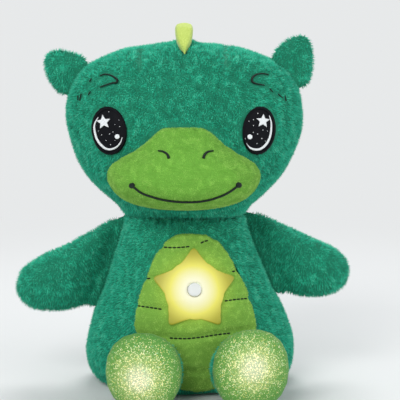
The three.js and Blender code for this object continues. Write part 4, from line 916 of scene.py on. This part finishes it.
def thread(name, runs, width, finish, taper=None):
    """Threads laid along runs of places, round in section and closed at their ends."""
    line = bpy.data.curves.new(name, "CURVE")
    line.dimensions = "3D"
    line.bevel_depth = width / 2
    line.bevel_resolution = 1
    line.use_fill_caps = True
    for run in runs:
        spline = line.splines.new("POLY")
        spline.points.add(len(run) - 1)
        for i, (point, place) in enumerate(zip(spline.points, run)):
            point.co = (*place, 1)
            point.radius = taper(i / (len(run) - 1)) if taper else 1
    curve = bpy.data.objects.new(name, line)
    scene.collection.objects.link(curve)
    mesh = bpy.data.meshes.new_from_object(curve.evaluated_get(bpy.context.evaluated_depsgraph_get()))
    bpy.data.objects.remove(curve)
    made = bpy.data.objects.new(name, mesh)
    scene.collection.objects.link(made)
    finished(made, "torso", "eye_thread", finish)


STITCH_SHARES = (0, 0.2, 0.5, 0.8, 1)


def dashes(run, stitch, gap, rise):
    """Running stitches along a run of places: each comes up, lies and dives again."""
    lengths = [0]
    for start, end in zip(run, run[1:]):
        lengths.append(lengths[-1] + (end - start).length)

    def at(distance):
        for i, (low, high) in enumerate(zip(lengths, lengths[1:])):
            if distance <= high:
                return run[i].lerp(run[i + 1], (distance - low) / max(high - low, 1e-9))
        return run[-1]

    made = []
    start = 0.0
    while start + stitch <= lengths[-1] + 1e-6:
        made.append(
            [at(start + share * stitch) + rise * (math.sin(share * math.pi) - 0.35) for share in STITCH_SHARES]
        )
        start += stitch + gap
    return made


belly_rise = Vector((0, -0.96, 0.26)) * 0.0009
stitches = [dash for run in stitching for dash in dashes(run, 0.0022, 0.0013, belly_rise)]
thread("belly_stitches", stitches, 0.0012, dark_thread)

# Star
# Five points of thin satin sewn over the hole in the belly panel. The lamp behind it makes
# it glow, white at its middle and amber at its tips, and its hollow sides are filled out.
STAR_FILL = 0.1
SATIN_THREAD = 0.0005
SATIN_DEPTH = 0.00008
satin, satin_tree, satin_shader = new_finish("star satin", Roughness=0.5)
# The satin's glow is painted light from the lamp behind it
star_level = lit_through(
    satin, LAMP_CENTRE + LAMP_WAY * 0.008, 0.037, (0, (0.08, 0.1, 0.006, 1)), (0.13, (0.17, 0.16, 0.012, 1)),
    (0.44, (0.4, 0.4, 0.07, 1)), (0.79, (0.46, 0.48, 0.4, 1)), (1, (0.5, 0.54, 0.62, 1)),
)
weave, weave_in, weave_out = new_group(
    "plain weave", "ShaderNodeTree", (("Thread", "Float", SATIN_THREAD),), (("Height", "Float"),)
)
laid = {"Vector": place_on(weave), "Scale": worked(weave, "DIVIDE", 0.16, weave_in["Thread"]), "Distortion": 0.4}
over_under = [
    add(weave, "ShaderNodeTexWave", laid, bands_direction=direction).outputs["Fac"] for direction in ("X", "Z")
]
joined(weave, worked(weave, "MULTIPLY", *over_under), weave_out["Height"])
woven = add(satin_tree, "ShaderNodeGroup", {"Thread": SATIN_THREAD}, node_tree=weave).outputs["Height"]
joined(satin_tree, relief(satin_tree, woven, SATIN_DEPTH), satin_shader.inputs["Normal"])
# The satin's own colour is also painted paler towards the middle, where the lamp shines brightest
star_tone = ramp(satin_tree, star_level, (0, rgb(130, 126, 22)), (0.44, rgb(168, 158, 62)), (0.8, rgb(176, 168, 114)))
joined(satin_tree, star_tone, satin_shader.inputs["Base Color"])
star = settled(cad_form("star_window"), "star_cloth", voxel=0.0007, rounds=3)
for vertex in star.data.vertices:
    up = vertex.co.z - LAMP_CENTRE.z
    across = vertex.co.x - LAMP_CENTRE.x
    hollow = 0.5 - 0.5 * math.cos(5 * math.atan2(across, up))
    vertex.co.x += STAR_FILL * hollow * across
    vertex.co.z += STAR_FILL * hollow * up
stuffed(star, [], "torso", "star_fabric", satin, 0.2, "star_window")

# Head
# A wide round head of the same plush, stuffed firm, drawn in along its centre seam and its
# darts, with brows sewn on in dark thread.
HEAD_SEAMS = (
    ((183, 47), (183.4, 58), (184, 68)), ((225.5, 47), (226, 58), (227, 70)), ((141, 50), (141, 60), (140, 70)),
)
BROWS = (
    ((101.1, 77.1), (105.4, 75.3), (111, 76.1), (115.8, 78.7), (118, 81.4), (116.6, 83.4), (112, 84), (101.1, 87.7)),
    ((267.2, 75.8), (261.7, 74.7), (255.8, 75.5), (251.6, 78.7), (251.3, 82.4), (255, 84.4), (263.3, 85.9)),
)
BROW_TICKS = (
    ((92.6, 79.6), (90.6, 82.6)), ((91.6, 92), (89.4, 95.4)), ((82.6, 94.4), (81, 101)), ((79.6, 96), (79.2, 100.4)),
    ((268.6, 89.2), (271.6, 92.6)), ((277, 94.6), (281.4, 98.4)), ((283.6, 96), (284.8, 101.6)),
)
HEAD_CAD = cad_surface("head_cover")
head = settled(outer_form("head_cover"), "head_cloth", voxel=0.003, rounds=25)
HEAD_COVERS = ("muzzle", "eye_left", "eye_right")
head_drop = drop_beside(*HEAD_COVERS, "torso_cover", *(f"crest_spike_{order}" for order in range(1, 5)))
moved_out(head, lambda place, normal: (0.001 * lumps(place, 0.026, 5) / PILE_DROP - 1) * head_drop(place))
creased(head, laid_lines(surface_of(head), HEAD_SEAMS), width=0.0065, depth=0.003)
head_surface = surface_of(head)
brow_lines = laid_lines(head_surface, (*BROWS, *BROW_TICKS), 0.0016)
bare_at_brows = bare_near(brow_lines, 0.0026)
parted_at_seams = bare_near(laid_lines(head_surface, HEAD_SEAMS), 0.0022, 0.25)
head_piles = [
    pile(head, f"head_pile_{share}", HEAD_COVERS, seed=20 + share, density=560000, floor=0.0001,
         fullness=lambda place: min(bare_at_brows(place), parted_at_seams(place)))
    for share in (1, 2)
]
stuffed(head, head_piles, "torso", "dark_plush", dark_plush, 0.9, "head_cover", "head_stuffing")
thread("brow_threads", brow_lines[:2], 0.0018, dark_thread, lambda t: 0.65 + 0.5 * math.exp(-((t - 0.6) / 0.2) ** 2))
thread("brow_ticks", brow_lines[2:], 0.001, dark_thread)

# Muzzle
# A broad stuffed snout of lime short-pile plush, sewn on under the eyes, with a smile and
# two nostrils in thick satin stitch.
NOSTRILS = (
    ((158.6, 151.4), (163.6, 152.2), (167.6, 155), (168.9, 158.6)),
    ((212.8, 151.4), (207.6, 152.4), (204.2, 155.4), (203.3, 158.6)),
)
SMILE = (
    (132.5, 185.3), (141.3, 192.2), (150.9, 195.8), (162, 198.9), (174.8, 200.8), (187.5, 201.4), (200.3, 200.8),
    (213, 198.2), (224.2, 194.1), (232.2, 189.4), (238.1, 184.7),
)
SMILE_DOT = 2.6
lime_plush = pile_finish("lime plush", rgb(108, 170, 56), rgb(142, 202, 78), rgb(182, 226, 122))
muzzle = settled(cad_form("muzzle"), "muzzle_cloth", voxel=0.0025, rounds=10, levels=1)
sewn_on(muzzle, HEAD_CAD, reach=0.0035, sink=0.003)
moved_out(muzzle, lambda place, normal: -0.0006)
muzzle_surface = surface_of(muzzle)
face_lines = laid_lines(muzzle_surface, (*NOSTRILS, SMILE), 0.0009)
muzzle_pile = pile(
    muzzle, "muzzle_pile", length=0.0012, density=1500000, width=0.0006, clump=0.9, clump_size=0.005, seed=22,
    fullness=bare_near(face_lines, 0.0013), facing=lambda normal: normal.y < 0.35,
)
stuffed(muzzle, [muzzle_pile], "torso", "lime_plush", lime_plush, 0.9, "muzzle")
thread("nostril_stitches", face_lines[:2], 0.002, dark_thread, lambda t: 0.6 + 0.6 * t)
thread("smile_stitch", face_lines[2:], 0.0017, dark_thread)


def raised_shape(name, spots, middle, surface, height, finish):
    """A raised satin-stitch shape: an outline of view spots laid on a surface, filled and thickened."""
    form = bmesh.new()
    bmesh.ops.create_circle(form, cap_ends=True, cap_tris=True, segments=len(spots), radius=1)
    rim = sorted((v for v in form.verts if v.co.length > 0.5), key=lambda v: math.atan2(v.co.y, v.co.x) % math.tau)
    for vertex in form.verts:
        across, down = spots[rim.index(vertex)] if vertex in rim else middle
        vertex.co = (across, down, 0)
    bmesh.ops.subdivide_edges(form, edges=form.edges, cuts=2, use_grid_fill=True)
    for vertex in form.verts:
        vertex.co = seen(surface, [vertex.co.xy], 0.0001)[0]
    bmesh.ops.recalc_face_normals(form, faces=form.faces)
    if sum(face.normal.y for face in form.faces) > 0:
        bmesh.ops.reverse_faces(form, faces=form.faces)
    bmesh.ops.solidify(form, geom=form.faces, thickness=-height)
    bmesh.ops.recalc_face_normals(form, faces=form.faces)
    finished(made_object(form, name), "torso", "eye_thread", finish)


def spots_round(middle, count, half_width, half_height, lean=0):
    """View spots round an oval that leans by an angle in degrees."""
    turn = Matrix.Rotation(math.radians(lean), 2)
    steps = [math.tau * i / count for i in range(count)]
    return [
        tuple(Vector(middle) + turn @ Vector((half_width * math.cos(step), half_height * math.sin(step))))
        for step in steps
    ]


for end, middle in (("right", SMILE[0]), ("left", SMILE[-1])):
    ring = spots_round(middle, 12, SMILE_DOT, SMILE_DOT)
    raised_shape("smile_end_" + end, ring, middle, muzzle_surface, 0.0012, dark_thread)

# Eyes
# Two leaning ovals of black satin stitch on padded patches, with a raised star, a catch
# light, a pale crescent and a scatter of small knots in white thread.
STAR_HOLLOW = 0.46
MARK_HEIGHT = 0.0006
eye_thread = thread_finish(
    "black satin stitch", rgb(2, 3, 7), rgb(9, 11, 18), 520.0, Roughness=0.6, Specular_IOR_Level=0.12
)
white_thread = thread_finish(
    "white satin stitch", rgb(196, 202, 206), rgb(246, 248, 248), 520.0, Roughness=0.45, Sheen_Weight=0.2
)

EYES = {
    "right": {
        "fit": (0.91, 0.0005),
        "rim": ((109.3, 131.2), 16.2, 22.6, -4),
        "star": ((103.8, 122), 7.3, -8),
        "dot": ((117.4, 136.5), 2.4),
        "crescent": ((98.3, 117.2), (94.9, 123.6), (94.6, 129.4), (97, 138.8), (102.3, 145.9), (108.6, 149.3),
                     (115.8, 147.6), (120.4, 142.7), (122.3, 137.2)),
        "knots": ((108.9, 111.8), (119, 120.1), (119.8, 126.5), (115, 124.4), (113.1, 131.9), (109.7, 134),
                  (106.2, 140.4), (110.7, 144.7), (115, 140.5), (101.8, 134.8), (98.6, 131)),
    },
    "left": {
        "fit": (0.86, 0),
        "rim": ((258.7, 130.6), 15.2, 22.4, 4),
        "star": ((262.8, 121), 7, 4),
        "dot": ((249.7, 136.8), 2.5),
        "crescent": ((269.2, 115.6), (271.2, 123.6), (270.3, 134.8), (266.5, 143.5), (260.1, 148.9), (253.7, 149.3),
                     (248.1, 146.5), (245.2, 141.2), (245.1, 138)),
        "knots": ((248.9, 121.2), (253.4, 119.6), (253.4, 125.5), (257.7, 113.4), (253.2, 132.4), (257.4, 134),
                  (261.7, 138.4), (256.9, 143.5), (262.8, 130), (267.3, 131), (265.2, 141.2)),
    },
}

for side, marks in EYES.items():
    eye = settled(cad_form("eye_" + side), "eye_patch_" + side, voxel=0.0007, rounds=5)
    moved_out(eye, lambda place, normal: 0.0003)
    low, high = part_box("eye_" + side)
    middle = (low[0] + high[0]) / 2
    narrower, aside = marks["fit"]
    for vertex in eye.data.vertices:
        vertex.co.x = middle + aside + (vertex.co.x - middle) * narrower
    stuffed(eye, [], "torso", "eye_thread", eye_thread, 0.5, "eye_" + side)
    eye_surface = surface_of(eye)
    centre, half_width, half_height, lean = marks["rim"]
    oval = spots_round(centre, 48, half_width, half_height, lean)
    thread("eye_rim_" + side, [seen(eye_surface, [*oval, oval[0]], 0.0001)], 0.0017, eye_thread)
    middle, reach, lean = marks["star"]
    tips = spots_round(middle, 5, reach, reach, lean - 90)
    hollows = spots_round(middle, 5, reach * STAR_HOLLOW, reach * STAR_HOLLOW, lean - 54)
    star_spots = [spot for pair in zip(tips, hollows) for spot in pair]
    raised_shape("eye_star_" + side, star_spots, middle, eye_surface, MARK_HEIGHT, white_thread)
    middle, reach = marks["dot"]
    ring = spots_round(middle, 12, reach, reach)
    raised_shape("eye_light_" + side, ring, middle, eye_surface, MARK_HEIGHT, white_thread)
    crescent = laid_lines(eye_surface, [marks["crescent"]], 0.0001)
    thread(
        "eye_crescent_" + side, crescent, 0.0021, white_thread, lambda t: 0.25 + 0.75 * math.sin(math.pi * t**0.85)
    )
    knots = bmesh.new()
    for spot, place in zip(marks["knots"], seen(eye_surface, marks["knots"], 0.0002)):
        size = 0.0003 + 0.00018 * (spot[0] * 7 % 1)
        bmesh.ops.create_icosphere(knots, subdivisions=1, radius=size, matrix=Matrix.Translation(place))
    finished(made_object(knots, "eye_knots_" + side), "torso", "eye_thread", white_thread)

# Ears
# Two small flat ears of dark plush, each of two layers turned right side out, stuffed
# lightly and sewn into the head's side seams.
EAR_RISE = {"right": 0.0, "left": 0.09}
for side, seed in (("right", 31), ("left", 32)):
    ear = settled(cad_form("ear_" + side), "ear_cloth_" + side, voxel=0.0016, rounds=6)
    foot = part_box("ear_" + side)[0][2]
    for vertex in ear.data.vertices:
        vertex.co.z += EAR_RISE[side] * (vertex.co.z - foot)
    sewn_on(ear, HEAD_CAD, reach=0.007, sink=0.004)
    moved_out(ear, lambda place, normal: 0.0006 * lumps(place, 0.012, 4) - 0.0006)
    ear_pile = pile(ear, "ear_pile_" + side, ("head_cover",), seed=seed, margin=0.0005)
    stuffed(ear, [ear_pile], "torso", "dark_plush", dark_plush, 0.6, "ear_" + side)

# Crest
# Five small stuffed spikes of pale lime felt along the centre seam, from the crown to the
# shoulders, each pinched thin where it is sewn in.
CROWN_LOW = 0.2715
CROWN_HIGH = 0.2815
CROWN_HALF = 0.0082
FELT_FIBRE = 1 / 1400
felt, felt_tree, felt_shader = new_finish("crest felt", Roughness=0.9, Sheen_Weight=0.3)
fibres = {"Vector": place_on(felt_tree), "Scale": 1 / FELT_FIBRE, "Detail": 4.0}
tangle = add(felt_tree, "ShaderNodeTexNoise", fibres).outputs[0]
felt_tone = ramp(felt_tree, tangle, (0.3, rgb(166, 190, 72)), (0.7, rgb(206, 222, 118)))
joined(felt_tree, felt_tone, felt_shader.inputs["Base Color"])
joined(felt_tree, relief(felt_tree, tangle, 0.00025, 0.6), felt_shader.inputs["Normal"])
for order in range(1, 6):
    name = f"crest_spike_{order}"
    spike = settled(cad_form(name), name + "_felt", voxel=0.0009, rounds=5)
    if order == 1:
        low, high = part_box(name)
        middle = (low[0] + high[0]) / 2
        for vertex in spike.data.vertices:
            full = min(1, max(0.12, (vertex.co.z - CROWN_LOW) / (CROWN_HIGH - CROWN_LOW)))
            squarer = 1.15 + 0.8 * clamped((vertex.co.z - CROWN_HIGH) / 0.01)
            wide = (vertex.co.x - middle) * full * squarer
            vertex.co.x = middle + CROWN_HALF * math.tanh(wide / CROWN_HALF)
    sewn_on(spike, TORSO_CAD if order == 5 else HEAD_CAD, reach=0.003, sink=0.002)
    stuffed(spike, [], "torso", "crest_fabric", felt, 0.7, name)

# Arms
# Two flat stuffed mitts of dark plush, each sewn into its flank along a short seam that it
# swings about.
ARM_SEAMS = {
    "right": (Vector((-0.06716, 0, 0.09947)), Vector((-0.95112, 0, 0.30884))),
    "left": (Vector((0.05774, 0, 0.10661)), Vector((0.92914, 0, 0.36972))),
}
SHOULDER_RISE = 0.006
SHOULDER_REACH = 0.045
for side, seed in (("right", 41), ("left", 42)):
    seam, out = ARM_SEAMS[side]
    arm = settled(cad_form("arm_" + side), "arm_cloth_" + side, voxel=0.0022, rounds=8)
    for vertex in arm.data.vertices:
        along = (vertex.co - seam).dot(out) / SHOULDER_REACH
        vertex.co.z += SHOULDER_RISE * max(0, 1 - max(0, along)) ** 1.5 * max(0, (vertex.co.z - seam.z) / 0.03)
    sewn_on(arm, TORSO_CAD, reach=0.008, sink=0.004)
    moved_out(
        arm, lambda place, normal: (0.0009 * lumps(place, 0.018, 3) - 0.0018)
        * clamped(TORSO_CAD.find_nearest(place)[3] / 0.006),
    )
    arm_pile = pile(arm, "arm_pile_" + side, ("torso_cover",), seed=seed, margin=0.0006)
    finished(arm, None, "dark_plush", dark_plush, "arm_" + side)
    finished(arm_pile, None, "dark_plush", dark_plush)
    for piece in (arm, arm_pile):
        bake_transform(piece)

# Legs
# Two short round legs of dark plush round a filling with the foot's light in it, closed by
# a lime sole with glitter in its nap. Each folds at a pinched seam on the torso.
HIP_SEAMS = {
    "right": (Vector((-0.0334, -0.067, 0.026)), Vector((-0.24192, -0.9703, 0))),
    "left": (Vector((0.0326, -0.067, 0.026)), Vector((0.24192, -0.9703, 0))),
}
FOOT_GLOWS = {"right": (139, 379), "left": (254, 368)}
FOOT_GLOW_REACH = 0.04
FOOT_FULLNESS = {"right": 1.08, "left": 1.11}
FOOT_ASIDE = {"right": 0, "left": 0.003}
FOOT_LENGTH = 0.04
FLECK_SIZE = 0.00055

# The nap of a sole is strewn with flecks, painted thicker as glints where its lamp shines through
glitter, glitter_in, glitter_out = new_group(
    "glitter nap", "ShaderNodeTree",
    (("Middle", "Vector"), ("Reach", "Float", FOOT_GLOW_REACH), ("Fleck", "Float", FLECK_SIZE)),
    (("Base Color", "Color"), ("Roughness", "Float"), ("Emission Color", "Color"), ("Normal", "Vector")),
)
here = place_on(glitter)
strewn = {"Vector": here, "Scale": worked(glitter, "DIVIDE", 1.0, glitter_in["Fleck"])}
flecks = add(glitter, "ShaderNodeTexVoronoi", strewn)
pick = add(glitter, "ShaderNodeSeparateColor", {0: flecks.outputs["Color"]}).outputs
lamp_spot = {"Middle": glitter_in["Middle"], "Reach": glitter_in["Reach"]}
level = add(glitter, "ShaderNodeGroup", lamp_spot, node_tree=light_falloff).outputs[0]
# Flecks are painted thicker where the lamp shines, as painted glints
fleck = worked(glitter, "LESS_THAN", pick[0], ranged(glitter, level, 0.02, 0.34, 0.0, 0.8))
sparkle = ramp(
    glitter, pick[1], (0.0, rgb(120, 198, 146)), (0.3, rgb(216, 222, 128)), (0.6, rgb(236, 240, 196)),
    (1.0, rgb(206, 198, 88)),
)
nap_spots = add(glitter, "ShaderNodeTexNoise", {"Vector": here, "Scale": 900.0, "Detail": 3.0}).outputs[0]
nap_tone = ramp(glitter, nap_spots, (0.3, rgb(66, 130, 42)), (0.7, rgb(88, 152, 60)))
joined(glitter, blended(glitter, fleck, nap_tone, sparkle), glitter_out["Base Color"])
joined(glitter, ranged(glitter, fleck, 0.75, 0.25), glitter_out["Roughness"])
# A painted pool of light from the foot's lamp, shining through the sole
glow = ramp(
    glitter, level, (0.0, (0, 0, 0, 1)), (0.4, (0.05, 0.045, 0.015, 1)), (0.75, (0.22, 0.18, 0.09, 1)),
    (0.97, (0.5, 0.38, 0.36, 1)),
)
# Flecks glow a little brighter than the nap, as painted glints
dimmed = {0: glow, "Scale": ranged(glitter, fleck, 0.95, 1.08)}
lit = add(glitter, "ShaderNodeVectorMath", dimmed, operation="SCALE").outputs[0]
joined(glitter, lit, glitter_out["Emission Color"])
joined(glitter, relief(glitter, nap_spots, 0.0003), glitter_out["Normal"])


def hull_form(name):
    """A round closed form over a CAD node."""
    form = cad_form(name)
    hull = bmesh.ops.convex_hull(form, input=form.verts)
    bmesh.ops.delete(form, geom=list(set(hull["geom_interior"] + hull["geom_unused"])), context="VERTS")
    loose = [face for face in form.faces if not any(edge.is_manifold for edge in face.edges)]
    bmesh.ops.delete(form, geom=loose, context="FACES")
    bmesh.ops.recalc_face_normals(form, faces=form.faces)
    return form


for side, seed in (("right", 51), ("left", 52)):
    seam, out = HIP_SEAMS[side]
    leg = settled(hull_form("leg_cover_" + side), "leg_cloth_" + side, voxel=0.002, rounds=8)
    sewn_on(leg, TORSO_CAD, reach=0.006, sink=0.002)
    beside_sole = drop_beside("sole_" + side)
    moved_out(leg, lambda place, normal: -0.65 * beside_sole(place) if place.z > 0.003 else 0)
    sewn_on(leg, cad_surface("sole_" + side), reach=0.0035, sink=0.0012)
    sole = settled(cad_form("sole_" + side), "sole_cloth_" + side, voxel=0.0011, rounds=6)
    sewn_on(sole, cad_surface("leg_cover_" + side), reach=0.003, sink=0.001)
    leg_pile = pile(leg, "leg_pile_" + side, ("sole_" + side,), seed=seed)
    for piece in (leg, sole, leg_pile):
        for vertex in piece.data.vertices:
            along = clamped((vertex.co - seam).dot(out) / FOOT_LENGTH)
            vertex.co.x += FOOT_ASIDE[side] * along
            vertex.co.z *= FOOT_FULLNESS[side]
    glow_middle = seen(surface_of(sole), [FOOT_GLOWS[side]])[0]
    sole_cloth = new_finish(side + " sole glitter", Sheen_Weight=0.08, Emission_Strength=1)[0]
    laid_on(sole_cloth, glitter, Middle=glow_middle, Reach=FOOT_GLOW_REACH, Fleck=FLECK_SIZE)
    finished(leg, None, "dark_plush", dark_plush, "leg_cover_" + side, "leg_stuffing_" + side)
    finished(leg_pile, None, "dark_plush", dark_plush)
    for piece in (leg, leg_pile):
        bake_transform(piece)
    finished(sole, "leg_" + side, "glitter_fabric", sole_cloth, "sole_" + side)

# Tail
# A short thick tail of dark plush that steadies the toy as it sits, stuffed and sewn on at
# the foot of the back.
tail = settled(cad_form("tail"), "tail_cloth", voxel=0.002, rounds=8)
sewn_on(tail, TORSO_CAD, reach=0.006, sink=0.003)
moved_out(
    tail, lambda place, normal: -0.0016 * min(1, TORSO_CAD.find_nearest(place)[3] / 0.006) if place.z > 0.003 else 0
)
tail_pile = pile(tail, "tail_pile", ("torso_cover",), seed=61, margin=0.0006)
stuffed(tail, [tail_pile], "torso", "dark_plush", dark_plush, 0.7, "tail")

# Back flap
# A flap of the same plush over the battery case, sewn along its top and held shut by a
# touch fastener along its foot.
FLAP_MIDDLE = 0.0275
FLAP_STAND = 0.004
LOOP_SIZE = 0.0007
flap = settled(cad_form("back_flap"), "flap_cloth", voxel=0.0012, rounds=4)
# Its sides lie down on the back beyond the door and the tapes, which hold its middle off
back = surface_of(torso)
for vertex in flap.data.vertices:
    place, _, _, away = back.find_nearest(vertex.co)
    aside = clamped((abs(vertex.co.x) - FLAP_MIDDLE) / 0.005)
    vertex.co += (place - vertex.co).normalized() * max(0, min(away - 0.0006, FLAP_STAND * aside))
flap_pile = pile(flap, "flap_pile", ("battery_door", "flap_hook_strip", "torso_stuffing"), seed=62, margin=0.0015)
stuffed(flap, [flap_pile], "back_flap", "dark_plush", dark_plush, 0.3, "back_flap")
touch, touch_tree, touch_shader = new_finish("touch fastener", Roughness=0.8)
loop_cells = {"Vector": place_on(touch_tree), "Scale": 1 / LOOP_SIZE}
loops = add(touch_tree, "ShaderNodeTexVoronoi", loop_cells).outputs["Distance"]
# Painted shade in the hollows between the loops, lighter on the loops themselves
loop_tone = ramp(touch_tree, loops, (0.1, rgb(34, 40, 38)), (0.8, rgb(16, 20, 19)))
joined(touch_tree, loop_tone, touch_shader.inputs["Base Color"])
joined(touch_tree, relief(touch_tree, loops, 0.0004, 0.7), touch_shader.inputs["Normal"])
for name, body in (("flap_hook_strip", "back_flap"), ("flap_loop_strip", "torso")):
    strip = settled(cad_form(name), name + "_tape", voxel=0.0006, rounds=2)
    stuffed(strip, [], body, "touch_strip", touch, 0.1, name)
